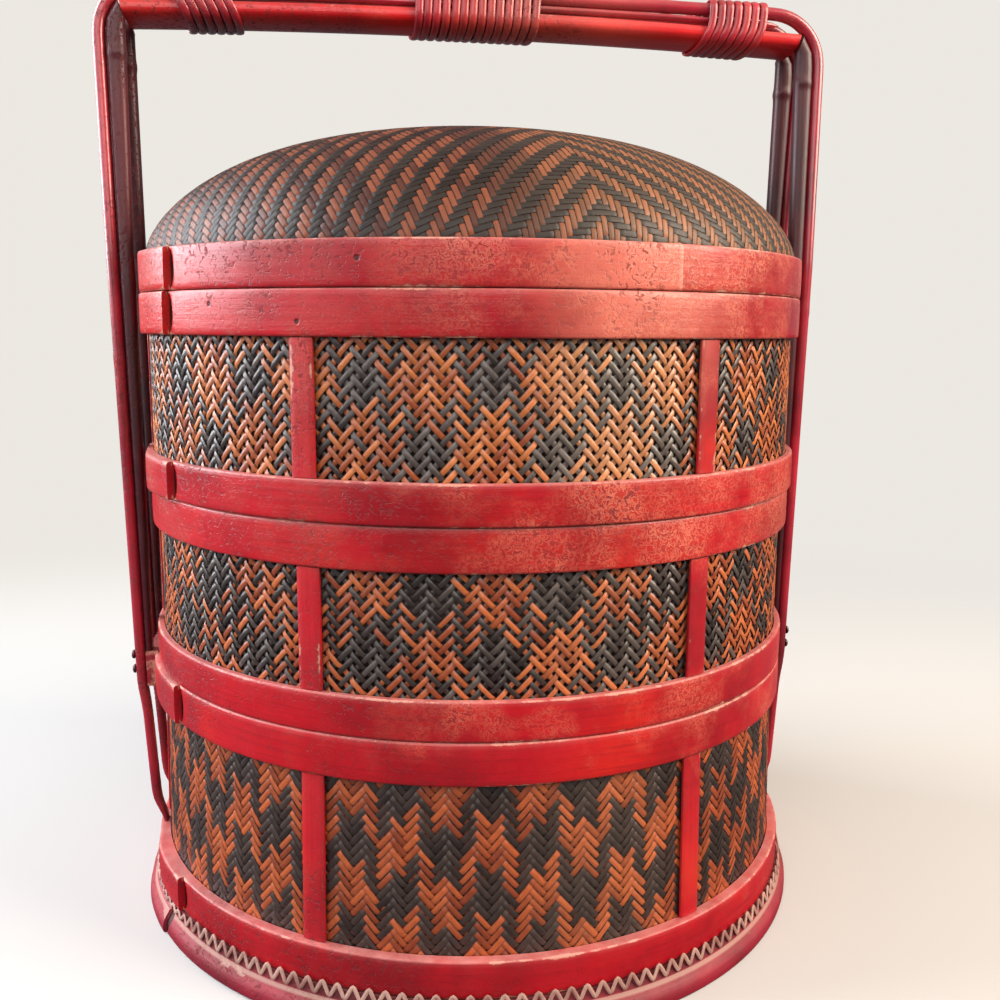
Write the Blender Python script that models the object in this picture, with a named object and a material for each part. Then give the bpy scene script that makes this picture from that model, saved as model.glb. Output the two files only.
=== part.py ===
# Three tier bamboo food basket with a carrying frame
#
# Metres, +Z up. The origin is the middle of the foot ring, on the surface that the basket stands on.
# The front is -Y. The two uprights of the carrying frame stand at -X and +X.
# Azimuths are in degrees from the front, negative to the left (-X), positive to the right (+X).
import math

import bmesh
import bpy
from mathutils import Vector

for leftover in list(bpy.data.objects):
    bpy.data.objects.remove(leftover, do_unlink=True)

# Sizes of the whole
hoop_radius = 0.165            # outside of the lid's hoop and of tier 1's hoops
tier_step = 0.0015             # tiers 2 and 3 are this much smaller in radius
seat_gap = 0.0003              # between pieces that touch

# Hoops, bent from one bamboo strip with lapped ends
hoop_thickness = 0.0032
base_hoop_thickness = 0.0050
hoop_edge = 0.0009             # rounding of a hoop's long edges
rim_hoop_height = 0.0183
heel_hoop_height = 0.0170
base_hoop_height = 0.0167
lid_hoop_height = 0.0180
base_hoop_proud = 0.0018       # the base hoop stands out this much past the lid's
lap_thickness = 0.0030
lap_step = 1.0                 # degrees taken by the step at a lap's end
lap_run = 12.0                 # degrees at full thickness behind the step
lap_fade = 7.0                 # degrees in which the lap sinks back to the hoop
block_lap_run = 19.0           # on tier 3's rim the lap keeps its thickness up to the left block
block_lap_fade = 0.8
notch_margin = 0.5             # degrees without other sections, either side of a notch
notch_edge = 0.02              # degrees taken by a notch's end

# Heights of woven wall that show between the hoops
tier_3_show = 0.0742
tier_2_show = 0.0515
tier_1_show = 0.0548

# Woven walls, floors and the collars that keep one tier on the next
wall_thickness = 0.0026
floor_thickness = 0.0030
floor_clearance = 0.0012       # under a floor, above the collar of the tier below
collar_thickness = 0.0022
collar_rise = 0.0070           # how far a collar stands above its own rim
collar_seat = 0.0140           # how far a collar reaches down inside its wall

# Battens over the walls
batten_width = 0.0107
batten_thickness = 0.0020
batten_crown = 0.0006
batten_azimuths = (-151.0, -90.0, -31.0, 29.0, 90.0, 149.0)

# Foot ring with its sloping ledge and the lacing on it
foot_reach = 0.0054            # past the base hoop
foot_width = 0.0222
foot_height = 0.0086           # of the ring's rolled shoulder
foot_roll = 0.0016
foot_lap_thickness = 0.0012
ledge_rise = 0.0066            # from the shoulder up to the base hoop
ledge_edge = 0.0009            # flat shoulder outside the lacing
lacing_thickness = 0.0009
lacing_width = 0.0022          # of the lacing's strand, across its run
lacing_climb = 0.0028          # how far its upper turns lie over the face of the base hoop
lacing_stop = 0.0006           # its lower turns end this far above the shoulder
lacing_turns = 150

# Woven dome of the lid
dome_rise = 0.0604
dome_outline_share = 2.62      # exponent of the dome's outline across
dome_height_share = 1.6        # exponent of the dome's outline upwards
dome_rings = 9

# Carrying frame
crossbar_width = 0.029
crossbar_depth = 0.0092        # in the middle of the width
crossbar_shoulder = 0.0035     # the rounded upper edges take this much of the width
crossbar_shoulder_drop = 0.0024
crossbar_side = 0.0044         # from the top down to where the belly starts
crossbar_mitre = 0.0024        # its underside stops this much short of its top
crossbar_clearance = 0.0005    # between its ends and the bails
crossbar_bow = 0.0033          # the middle of the bar is this much higher than its ends
hand_gap = 0.0513              # from the top of the dome to the underside of the bar
filler_width = 0.0060
filler_height = 0.0032
filler_overhang = 0.0080       # past the outer bindings
filler_point = 0.0064          # length of its tapered ends
bail_width = 0.0070
bail_thickness = 0.0060        # along the top
bail_bow = 0.0011              # its top is this much higher in the middle than at the corners
leg_block_thickness = 0.0054
leg_foot_thickness = 0.0048    # where the leg turns in to the base hoop
tail_thickness = 0.0024        # pared end behind the base hoop
tail_skin = 0.0011             # what the base hoop keeps outside the tail
tail_stop = 0.0030             # end of the tail above the base hoop's lower edge
corner_radius = 0.027          # outside of the bend
leg_top_reach = 0.0160         # outer face of a leg past the hoops, at the corner
leg_block_reach = 0.0094       # and at the lower edge of the block
leg_foot_reach = 0.0047        # and where it turns in to the base hoop
leg_pare = 0.0020              # taken off the leg's outer face below the block
leg_pare_height = 0.0120       # height in which it is taken off
leg_turn_height = 0.014        # height over the base hoop in which the leg turns in
spread_top = 0.0115            # half the distance between front and back frames at the top
spread_foot = 0.0165           # and from the lid down
post_width = 0.0080
post_clearance = 0.0009        # between a post and the hoops
post_tip_width = 0.0030        # of a post's mitred top
post_tip_depth = 0.0086        # slope of the mitred top, along the post
knuckle_drop = 0.0150          # below the top of the post
knuckle_length = 0.0040
knuckle_swell_depth = 0.0008
notch_clearance = 0.0003

# Blocks that hold the legs off tier 3's rim, and their pegs
block_overhang = 0.0005        # past the legs, front and back
peg_radius = 0.0023
peg_height = 0.0014
peg_height_shares = (0.46, 0.87)

# Rattan bindings round the crossbar, fillers and bails, with their places as shares of half the bar
strand_width = 0.0035
strand_thickness = 0.0016
binding_pitch = 0.0044
left_binding_share = -0.775
left_binding_turns = 6
left_binding_slant = 0.0052    # how far the strands lean by the underside of the bar
middle_binding_share = 0.0
middle_binding_turns = 14
middle_binding_slant = 0.0
right_binding_share = 0.787
right_binding_turns = 7
right_binding_slant = -0.0036

# Facets
ring_steps = 40
bar_arc_steps = 6
bar_steps = 8
corner_steps = 6
leg_steps = 5
turn_steps = 4
strand_sides = 6
peg_sides = 8
smooth_angle = math.radians(35.0)
merge_distance = 0.00001

# Azimuths of the hoops' lap ends
foot_lap = -65.5
base_lap = -61.5
tier_3_rim_lap = -62.6
tier_2_heel_lap = 158.0
tier_2_rim_lap = 140.0
tier_1_heel_lap = -60.0
tier_1_rim_lap = -59.0
lid_lap = -58.0

# Sizes that follow
plain_lap = (lap_thickness, lap_run, lap_fade)
block_lap = (lap_thickness, block_lap_run, block_lap_fade)
foot_ring_lap = (foot_lap_thickness, lap_run, lap_fade)
base_hoop_radius = hoop_radius + base_hoop_proud
base_hoop_bore = base_hoop_radius - base_hoop_thickness
foot_radius = base_hoop_radius + foot_reach
foot_bore = foot_radius - foot_width
lower_radius = hoop_radius - tier_step
base_level = foot_height + ledge_rise + seat_gap
floor_level = collar_rise + floor_clearance
upright_azimuth = 90.0


class Tier:
    """Radii and heights of one tier, with heights measured from the tier's own lower edge.

    The wall may be wider at its foot than at its rim, so it has a radius for each.
    """

    def __init__(self, name, radius, foot_bore, heel_height, show, heel_lap, rim_lap):
        self.name = name
        self.radius = radius
        self.heel_height = heel_height
        self.show = show
        self.heel_lap = heel_lap
        self.rim_lap = rim_lap
        self.rim_level = heel_height + show
        self.height = heel_height + show + rim_hoop_height
        self.bore = radius - hoop_thickness
        self.wall_outside = self.bore - seat_gap
        self.wall_inside = self.wall_outside - wall_thickness
        self.foot_outside = foot_bore - seat_gap
        self.foot_inside = self.foot_outside - wall_thickness


lower_bore = lower_radius - hoop_thickness
upper_bore = hoop_radius - hoop_thickness
tier_3 = Tier(
    "tier_3", lower_radius, base_hoop_bore, base_hoop_height, tier_3_show, base_lap, tier_3_rim_lap
)
tier_2 = Tier(
    "tier_2", lower_radius, lower_bore, heel_hoop_height, tier_2_show, tier_2_heel_lap, tier_2_rim_lap
)
tier_1 = Tier(
    "tier_1", hoop_radius, upper_bore, heel_hoop_height, tier_1_show, tier_1_heel_lap, tier_1_rim_lap
)

tier_2_level = base_level + tier_3.height + seat_gap
tier_1_level = tier_2_level + tier_2.height + seat_gap
lid_level = tier_1_level + tier_1.height + seat_gap
lid_top_level = lid_level + lid_hoop_height
dome_top_level = lid_top_level + dome_rise
crossbar_top = dome_top_level + hand_gap + crossbar_depth
bail_under = crossbar_top + filler_height + 2.0 * seat_gap
bail_top = bail_under + bail_thickness
leg_top_x = hoop_radius + leg_top_reach
leg_block_x = hoop_radius + leg_block_reach
leg_foot_x = hoop_radius + leg_foot_reach
base_hoop_top = base_level + base_hoop_height
leg_foot_level = base_hoop_top + leg_turn_height
corner_level = bail_top - bail_bow - corner_radius
corner_x = leg_top_x - corner_radius
block_low = base_level + tier_3.rim_level
block_high = block_low + rim_hoop_height
tail_outside = base_hoop_radius - tail_skin - notch_clearance
post_inner = hoop_radius + post_clearance
crossbar_end_top = crossbar_top - crossbar_bow
crossbar_end_under = crossbar_end_top - crossbar_depth
bend_bore = corner_radius - bail_thickness
bend_rise = crossbar_end_top - corner_level
crossbar_reach = corner_x + math.sqrt(bend_bore ** 2 - bend_rise ** 2) - crossbar_clearance


def finish(name, colour, roughness):
    """A plain lacquer or bamboo finish."""
    material = bpy.data.materials.new(name)
    material.use_nodes = True
    shader = material.node_tree.nodes["Principled BSDF"]
    shader.inputs["Base Color"].default_value = (*colour, 1.0)
    shader.inputs["Roughness"].default_value = roughness
    shader.inputs["Metallic"].default_value = 0.0
    return material


def place(name, mesh, material, parent):
    """One named piece, at the origin of the empty that carries it."""
    piece = bpy.data.objects.new(name, mesh)
    bpy.context.collection.objects.link(piece)
    piece.data.materials.append(material)
    piece.parent = parent
    return piece


def carrier(name, level, parent=None):
    """An empty on the lifting axis, at the lower edge of the pieces that it carries."""
    empty = bpy.data.objects.new(name, None)
    bpy.context.collection.objects.link(empty)
    empty.parent = parent
    empty.location = (0.0, 0.0, level)
    return empty


def turned(name, outline, closed, material, parent):
    """A piece turned about Z from (radius, height) points that run down its outer side."""
    mesh = bpy.data.meshes.new(name)
    points = [(radius, 0.0, height) for radius, height in outline]
    edges = [(index, index + 1) for index in range(len(points) - 1)]
    if closed:
        edges.append((len(points) - 1, 0))
    mesh.from_pydata(points, edges, [])
    piece = place(name, mesh, material, parent)
    screw = piece.modifiers.new("Turn", "SCREW")
    screw.steps = ring_steps
    screw.render_steps = ring_steps
    screw.use_merge_vertices = True
    screw.merge_threshold = merge_distance
    screw.use_smooth_shade = True
    return piece


def lofted(name, sections, ring, material, parent):
    """A skin over sections of equal point count, closed round as a ring or capped at its ends."""
    shape = bmesh.new()
    rows = [[shape.verts.new(point) for point in section] for section in sections]
    count = len(rows[0])
    pairs = list(zip(rows, rows[1:]))
    if ring:
        pairs.append((rows[-1], rows[0]))
    for first, second in pairs:
        for index in range(count):
            after = (index + 1) % count
            shape.faces.new((first[index], first[after], second[after], second[index]))
    if not ring:
        shape.faces.new(rows[0])
        shape.faces.new(rows[-1])
    bmesh.ops.recalc_face_normals(shape, faces=shape.faces)
    mesh = bpy.data.meshes.new(name)
    shape.to_mesh(mesh)
    shape.free()
    mesh.shade_smooth()
    mesh.set_sharp_from_angle(angle=smooth_angle)
    return place(name, mesh, material, parent)


def around(azimuth, radius, height):
    """The point at an azimuth from the front, a radius and a height."""
    turn = math.radians(azimuth)
    return Vector((radius * math.sin(turn), -radius * math.cos(turn), height))


def band_outline(inside, outside, low, high, edge):
    """A flat strip's cross section as (radius, height, share of the lap that it takes)."""
    return [
        (inside, low, 0.0),
        (outside - edge, low, 1.0),
        (outside, low + edge, 1.0),
        (outside, high - edge, 1.0),
        (outside - edge, high, 1.0),
        (inside, high, 0.0),
    ]


def lap_share(behind, run, fade):
    """How much of the lap's thickness stands at so many degrees behind its end."""
    if behind <= run:
        return 1.0
    return max(0.0, 1.0 - (behind - run) / fade)


def lapped_hoop(name, outline, lap_azimuth, material, parent, lap=plain_lap, notches=()):
    """A hoop whose outer strip end lies over the strip, with a step where it ends.

    A notch is (first azimuth, last azimuth, radius): the bore is cut back to that radius there.
    A lap is (thickness, degrees at full thickness, degrees in which it sinks back).
    """
    thickness, run, fade = lap
    turn_away = -1.0 if lap_azimuth < 0.0 else 1.0
    spacing = 360.0 / ring_steps
    stations = {round(step * spacing, 4): None for step in range(ring_steps)}
    lap_end = lap_azimuth % 360.0
    stations[round(lap_end, 4)] = None
    stations[round((lap_end - turn_away * lap_step) % 360.0, 4)] = None
    stations[round((lap_end + turn_away * run) % 360.0, 4)] = None
    stations[round((lap_end + turn_away * (run + fade)) % 360.0, 4)] = None
    sections = []
    marks = [(azimuth, None) for azimuth in stations]
    for first, last, radius in notches:
        low, high = first - notch_margin, last + notch_margin
        marks = [(azimuth, cut) for azimuth, cut in marks if not low < azimuth < high]
        marks += [(first - notch_edge, None), (first, radius), (last, radius), (last + notch_edge, None)]
    for azimuth, cut in sorted(marks, key=lambda mark: mark[0]):
        behind = ((azimuth - lap_end) * turn_away) % 360.0
        share = lap_share(behind, run, fade)
        section = []
        for radius, height, carried in outline:
            reach = radius + carried * share * thickness
            if cut is not None and carried == 0.0:
                reach = cut
            section.append(around(azimuth, reach, height))
        sections.append(section)
    return lofted(name, sections, True, material, parent)


def batten(name, tier, azimuth, material, parent):
    """A crowned split bamboo strip over the wall, between the two hoops."""
    sections = []
    for wall, level in (
        (tier.foot_outside, tier.heel_height + seat_gap),
        (tier.wall_outside, tier.rim_level - seat_gap),
    ):
        inside = wall + seat_gap
        outside = inside + batten_thickness
        half_turn = math.degrees(batten_width / 2.0 / outside)
        outline = [
            (-half_turn, inside),
            (0.0, inside),
            (half_turn, inside),
            (half_turn, outside - batten_crown),
            (half_turn / 2.0, outside),
            (-half_turn / 2.0, outside),
            (-half_turn, outside - batten_crown),
        ]
        sections.append([around(azimuth + turn, radius, level) for turn, radius in outline])
    return lofted(name, sections, False, material, parent)


def build_tier_body(tier, parent):
    """The woven wall, its floor, collar, rim hoop and battens."""
    outer = [(tier.wall_outside, tier.height), (tier.foot_outside, 0.0)]
    inner = [(tier.foot_inside, 0.0), (tier.wall_inside, tier.height)]
    if tier.foot_outside > tier.wall_outside:
        outer[1:1] = [(tier.wall_outside, tier.rim_level), (tier.foot_outside, tier.heel_height)]
        inner[1:1] = [(tier.foot_inside, tier.heel_height), (tier.wall_inside, tier.rim_level)]
    turned(tier.name + "_wall", outer + inner, True, woven, parent)
    floor_radius = tier.foot_inside - seat_gap
    turned(
        tier.name + "_floor",
        [
            (0.0, floor_level + floor_thickness),
            (floor_radius, floor_level + floor_thickness),
            (floor_radius, floor_level),
            (0.0, floor_level),
        ],
        False,
        plain_bamboo,
        parent,
    )
    collar_outside = tier.wall_inside - seat_gap
    collar_inside = collar_outside - collar_thickness
    turned(
        tier.name + "_collar",
        [
            (collar_inside, tier.height + collar_rise),
            (collar_outside - collar_thickness / 4.0, tier.height + collar_rise),
            (collar_outside, tier.height + collar_rise - collar_thickness / 4.0),
            (collar_outside, tier.height - collar_seat),
            (collar_inside, tier.height - collar_seat),
        ],
        True,
        plain_bamboo,
        parent,
    )
    rim = band_outline(tier.bore, tier.radius, tier.rim_level, tier.height, hoop_edge)
    lap = block_lap if tier is tier_3 else plain_lap
    lapped_hoop(tier.name + "_rim_hoop", rim, tier.rim_lap, red_lacquer, parent, lap)
    for number, azimuth in enumerate(batten_azimuths, start=1):
        batten(tier.name + "_batten_" + str(number), tier, azimuth, red_lacquer, parent)


def build_foot(parent):
    """The foot ring under the base hoop and the lacing on its sloping ledge."""
    ledge_top = foot_height + ledge_rise
    ledge_root = base_hoop_radius + seat_gap
    shoulder = foot_radius - foot_roll
    ledge_foot = shoulder - ledge_edge
    foot = [
        (foot_bore, 0.0, 0.0),
        (foot_radius - foot_roll / 2.0, 0.0, 1.0),
        (foot_radius, foot_roll, 1.0),
        (foot_radius, foot_height - foot_roll, 1.0),
        (shoulder, foot_height, 1.0),
        (ledge_foot, foot_height, 0.0),
        (ledge_root, ledge_top, 0.0),
        (foot_bore, ledge_top, 0.0),
    ]
    lapped_hoop("foot_ring", foot, foot_lap, aged_cane, parent, foot_ring_lap)
    foot_point = Vector((ledge_foot, foot_height))
    ledge_point = Vector((ledge_root, ledge_top))
    climb_point = Vector((ledge_root, base_level + lacing_climb))
    lap_first, lap_last = base_lap - lap_run - lap_fade - lap_step, base_lap + 2.0 * lap_step
    sections = []
    for step in range(2 * lacing_turns):
        azimuth = 180.0 * step / lacing_turns
        under_lap = lap_first < azimuth - 360.0 < lap_last
        top = ledge_point if under_lap else climb_point
        down = (foot_point - top).normalized()
        out = Vector((-down.y, down.x))
        near = 2.0 * seat_gap
        if step % 2:
            near = (foot_point - top).length - lacing_width - lacing_stop
        corners = ((near, 0.0), (near + lacing_width, 0.0), (near + lacing_width, 1.0), (near, 1.0))
        section = []
        for run, rise in corners:
            radius, level = top + down * run + out * (seat_gap + rise * lacing_thickness)
            section.append(around(azimuth, radius, level))
        sections.append(section)
    lofted("foot_lacing", sections, True, aged_cane, parent)


def spread(level):
    """Half the distance between the front and back frames at a height."""
    fall = (crossbar_top - level) / (crossbar_top - lid_top_level)
    return spread_top + (spread_foot - spread_top) * min(1.0, max(0.0, fall))


def leg_outer(level):
    """The outer face of a leg, on its straight run from the block to the corner."""
    rise = (level - block_low) / (corner_level - block_low)
    return leg_block_x + (leg_top_x - leg_block_x) * rise


def leg_thickness(level):
    """How thick a leg is at a height on its straight run."""
    rise = (level - block_low) / (corner_level - block_low)
    return leg_block_thickness + (bail_thickness - leg_block_thickness) * min(1.0, max(0.0, rise))


def bend_inner(x):
    """The height of the inner face of a bail's bend over a place along the bar."""
    return corner_level + math.sqrt(bend_bore ** 2 - (x - corner_x) ** 2)


def bend_reach(level):
    """How far out the inner face of a bail's bend lies at a height."""
    return corner_x + math.sqrt(bend_bore ** 2 - (level - corner_level) ** 2)


def sink(x, rise, reach):
    """How much lower a bowed piece is at x than in its middle."""
    return rise * (x / reach) ** 2


def notch_turns():
    """The azimuths from the side between which a leg's tail lies, with its clearance."""
    near = spread_foot - bail_width / 2.0 - notch_clearance
    far = spread_foot + bail_width / 2.0 + notch_clearance
    return math.degrees(math.asin(near / tail_outside)), math.degrees(math.asin(far / tail_outside))


def tail_x():
    """The middle of a leg's tail, between the wall and the base hoop's skin."""
    far = spread_foot + bail_width / 2.0
    outer = math.sqrt(tail_outside ** 2 - far ** 2) - notch_clearance
    return outer - tail_thickness / 2.0


def half_bail():
    """Middle line of a bail from its right tail to the middle of the top, with thicknesses."""
    foot_middle = leg_foot_x - leg_foot_thickness / 2.0
    turn_low = base_hoop_top + seat_gap
    line = [(tail_x(), base_level + tail_stop, tail_thickness), (tail_x(), turn_low, tail_thickness)]
    for step in range(1, turn_steps + 1):
        share = step / turn_steps
        ease = share * share * (3.0 - 2.0 * share)
        line.append((
            tail_x() + (foot_middle - tail_x()) * ease,
            turn_low + (leg_foot_level - turn_low) * share,
            tail_thickness + (leg_foot_thickness - tail_thickness) * share,
        ))
    pared = leg_block_x - leg_pare - leg_foot_thickness / 2.0
    line.append((pared, block_low - leg_pare_height, leg_foot_thickness))
    for step in range(leg_steps + 1):
        level = block_low + (corner_level - block_low) * step / leg_steps
        thickness = leg_thickness(level)
        line.append((leg_outer(level) - thickness / 2.0, level, thickness))
    bend = corner_radius - bail_thickness / 2.0
    for step in range(1, corner_steps + 1):
        turn = math.pi / 2.0 * step / corner_steps
        line.append((
            corner_x + bend * math.cos(turn),
            corner_level + bend * math.sin(turn),
            bail_thickness,
        ))
    half_steps = bar_steps // 2
    for step in range(half_steps - 1, -1, -1):
        x = corner_x * step / half_steps
        level = bail_top - bail_thickness / 2.0 - sink(x, bail_bow, corner_x)
        line.append((x, level, bail_thickness))
    return line


def bail_path():
    """The whole bail's line, tail to tail, right to left."""
    right = half_bail()
    left = [(-x, level, thickness) for x, level, thickness in reversed(right[:-1])]
    return right + left


def strip_section(middle, along, across, thickness, width):
    """An eight sided section with flats, square to the strip's run."""
    across = (across - along * across.dot(along)).normalized()
    out = across.cross(along)
    points = []
    for side in range(8):
        turn = math.pi / 8.0 + side * math.pi / 4.0
        grow = 1.0 / math.cos(math.pi / 8.0)
        points.append(
            middle
            + out * (thickness / 2.0 * grow * math.cos(turn))
            + across * (width / 2.0 * grow * math.sin(turn))
        )
    return points


def build_bail(name, side, parent):
    """One bent bamboo strip from tail to tail: side is -1 for the front frame, 1 for the back."""
    line = [
        (Vector((x, side * spread(level), level)), thickness)
        for x, level, thickness in bail_path()
    ]
    across = Vector((0.0, 1.0, 0.0))
    sections = []
    for index, (middle, thickness) in enumerate(line):
        before = line[max(0, index - 1)][0]
        after = line[min(len(line) - 1, index + 1)][0]
        along = (after - before).normalized()
        sections.append(strip_section(middle, along, across, thickness, bail_width))
    return lofted(name, sections, False, red_lacquer, parent)


def post_section(inner, outer, wide, middle, hand, level_at):
    """A post's eight sided section, at the height that each of its corners asks for."""
    edge = (outer - inner) / 4.0
    outline = [
        (inner, -wide / 2.0),
        (inner, wide / 2.0),
        (inner + edge, wide),
        (outer - edge, wide),
        (outer, wide / 2.0),
        (outer, -wide / 2.0),
        (outer - edge, -wide),
        (inner + edge, -wide),
    ]
    return [Vector((hand * x, middle + y, level_at(x))) for x, y in outline]


def build_post(name, hand, side, parent):
    """A split bamboo post from the block to the crossbar's end; hand is -1 left, 1 right."""
    low = block_high + seat_gap
    mitre_low = crossbar_end_under - seat_gap
    knuckle = mitre_low - knuckle_drop
    stations = [
        (low, 0.0),
        (lid_level, 0.0),
        (knuckle - knuckle_length, 0.0),
        (knuckle - knuckle_length / 4.0, 1.0),
        (knuckle + knuckle_length / 4.0, 1.0),
        (knuckle + knuckle_length, 0.0),
        (corner_level, 0.0),
        (mitre_low - seat_gap, 0.0),
    ]
    sections = []
    for level, swell in stations:
        inner = post_inner - swell * knuckle_swell_depth / 2.0
        if level < corner_level:
            outer = leg_outer(level) - leg_thickness(level) - seat_gap
        else:
            outer = bend_reach(level) - seat_gap
        wide = post_width / 2.0 + swell * knuckle_swell_depth
        sections.append(post_section(
            inner, outer, wide, side * spread(level), hand, lambda x, here=level: here
        ))

    def mitred(x):
        up = (x - post_inner) * post_tip_depth / post_tip_width
        return min(mitre_low + up, bend_inner(x) - seat_gap)

    middle = side * spread(crossbar_end_under)
    sections.append(post_section(
        post_inner, post_inner + post_tip_width, post_width / 2.0, middle, hand, mitred
    ))
    return lofted(name, sections, False, dark_lacquer, parent)


def bar_outline():
    """The bar's section as (across, height below its top), from a rounded upper edge round the belly."""
    half = crossbar_width / 2.0
    belly = crossbar_depth - crossbar_side
    points = [(half - crossbar_shoulder, 0.0), (half, -crossbar_shoulder_drop)]
    for step in range(bar_arc_steps + 1):
        turn = math.pi * step / bar_arc_steps
        points.append((half * math.cos(turn), -crossbar_side - belly * math.sin(turn)))
    points += [(-half, -crossbar_shoulder_drop), (crossbar_shoulder - half, 0.0)]
    return points


def build_crossbar(parent):
    """The bowed grip between the posts, its ends mitred against them."""
    sections = []
    for step in range(bar_steps + 1):
        x = crossbar_reach * (2.0 * step / bar_steps - 1.0)
        top = crossbar_top - sink(x, crossbar_bow, crossbar_reach)
        section = []
        for across, drop in bar_outline():
            short = -crossbar_mitre * drop / crossbar_depth if step in (0, bar_steps) else 0.0
            section.append(Vector((x - math.copysign(short, x), across, top + drop)))
        sections.append(section)
    return lofted("crossbar", sections, False, red_lacquer, parent)


def build_filler(name, side, parent):
    """A thin pointed strip in the space between the bar and a bail."""
    half_left = left_binding_turns * binding_pitch / 2.0
    half_right = right_binding_turns * binding_pitch / 2.0
    first = left_binding_share * crossbar_reach - half_left - filler_overhang
    last = right_binding_share * crossbar_reach + half_right + filler_overhang
    stops = [(first, 0.25), (first + filler_point, 1.0)]
    for step in range(1, bar_steps):
        stops.append((first + (last - first) * step / bar_steps, 1.0))
    stops += [(last - filler_point, 1.0), (last, 0.25)]
    sections = []
    for x, share in stops:
        under = crossbar_top - sink(x, crossbar_bow, crossbar_reach)
        over = bail_under - sink(x, bail_bow, corner_x)
        sections.append(strip_section(
            Vector((x, side * spread_top, (under + over) / 2.0)),
            Vector((1.0, 0.0, 0.0)),
            Vector((0.0, 1.0, 0.0)),
            filler_height * share,
            filler_width * share,
        ))
    return lofted(name, sections, False, red_lacquer, parent)


def build_block(name, hand, parent):
    """A block between tier 3's rim hoop and the two legs, hollowed to the hoop."""
    half = spread_foot + bail_width / 2.0 + block_overhang
    bore = tier_3.radius + seat_gap
    steps = 4
    sections = []
    for level in (block_low, block_high):
        face = leg_outer(level) - leg_thickness(level) - seat_gap
        section = [Vector((hand * face, -half, level)), Vector((hand * face, half, level))]
        for step in range(steps + 1):
            y = half - 2.0 * half * step / steps
            section.append(Vector((hand * math.sqrt(bore ** 2 - y ** 2), y, level)))
        sections.append(section)
    return lofted(name, sections, False, red_lacquer, parent)


def build_peg(name, hand, side, share, parent):
    """The domed head of a peg that fastens a leg to its block, with hand -1 left and 1 right."""
    level = block_low + rim_hoop_height * share
    seat = leg_outer(level) + seat_gap
    sections = []
    for out, grow in ((0.0, 1.0), (peg_height * 0.6, 0.8), (peg_height, 0.35)):
        section = []
        for step in range(peg_sides):
            turn = 2.0 * math.pi * step / peg_sides
            section.append(Vector((
                hand * (seat + out),
                side * spread_foot + peg_radius * grow * math.cos(turn),
                level + peg_radius * grow * math.sin(turn),
            )))
        sections.append(section)
    return lofted(name, sections, False, dark_lacquer, parent)


def wrapped_outline():
    """What a binding goes round, as (across, height) corners in order, in the middle of the bar.

    The first three and the last three corners are the bails', the others the bar's.
    """
    side_flat = bail_thickness / 2.0 * math.tan(math.pi / 8.0)
    top_flat = bail_width / 2.0 * math.tan(math.pi / 8.0)
    bail_middle = bail_under + bail_thickness / 2.0
    outer = spread_top + bail_width / 2.0
    right = [
        (spread_top + top_flat, bail_top),
        (outer, bail_middle + side_flat),
        (outer, bail_middle - side_flat),
    ]
    belly = [(across, crossbar_top + drop) for across, drop in bar_outline()[2:-2]]
    left = [(-across, level) for across, level in reversed(right)]
    return right + belly + left


def offset_outline(corners, distance):
    """The corners moved out so that every side lies a distance further from the core."""
    moved = []
    count = len(corners)
    for index in range(count):
        before = Vector(corners[index - 1])
        here = Vector(corners[index])
        after = Vector(corners[(index + 1) % count])
        first = (here - before).normalized()
        second = (after - here).normalized()
        first_out = Vector((-first.y, first.x))
        second_out = Vector((-second.y, second.x))
        out = (first_out + second_out).normalized()
        moved.append(here + out * (distance / out.dot(first_out)))
    return moved


def binding_line(centre, turns, slant):
    """Middle line of one unbroken strand wound round the bar, with straight ends.

    Over the bails it runs square to the bar. Down the bar it leans by the slant.
    """
    loop = offset_outline(wrapped_outline(), seat_gap + strand_thickness / 2.0)
    count = len(loop)
    sides = [(loop[(index + 1) % count] - loop[index]).length for index in range(count)]
    around_all = sum(sides)
    start = centre - turns * binding_pitch / 2.0
    line = []
    gone = 0.0
    for step in range(turns * count + 1):
        corner = step % count
        point = loop[corner]
        below = max(0.0, crossbar_top - point.y) / crossbar_depth
        x = start + binding_pitch * gone / around_all + slant * below
        if 3 <= corner < count - 3:
            level = point.y - sink(x, crossbar_bow, crossbar_reach)
        else:
            level = point.y - sink(x, bail_bow, corner_x)
        line.append(Vector((x, point.x, level)))
        gone += sides[corner]
    first = (line[0] - line[1]).normalized()
    last = (line[-1] - line[-2]).normalized()
    return [line[0] + first * strand_width] + line + [line[-1] + last * strand_width]


def least_gap(line, turns):
    """The least gap between a strand and its next turn, from each point to the runs beside it."""
    inner = line[1:-1]
    count = (len(inner) - 1) // turns
    nearest = math.inf
    for index in range(1, len(inner) - count - 1):
        for beside in (index + count - 1, index + count):
            run = inner[beside + 1] - inner[beside]
            away = inner[index] - inner[beside]
            share = min(1.0, max(0.0, away.dot(run) / run.dot(run)))
            nearest = min(nearest, (away - run * share).length)
    return nearest - strand_width


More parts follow.
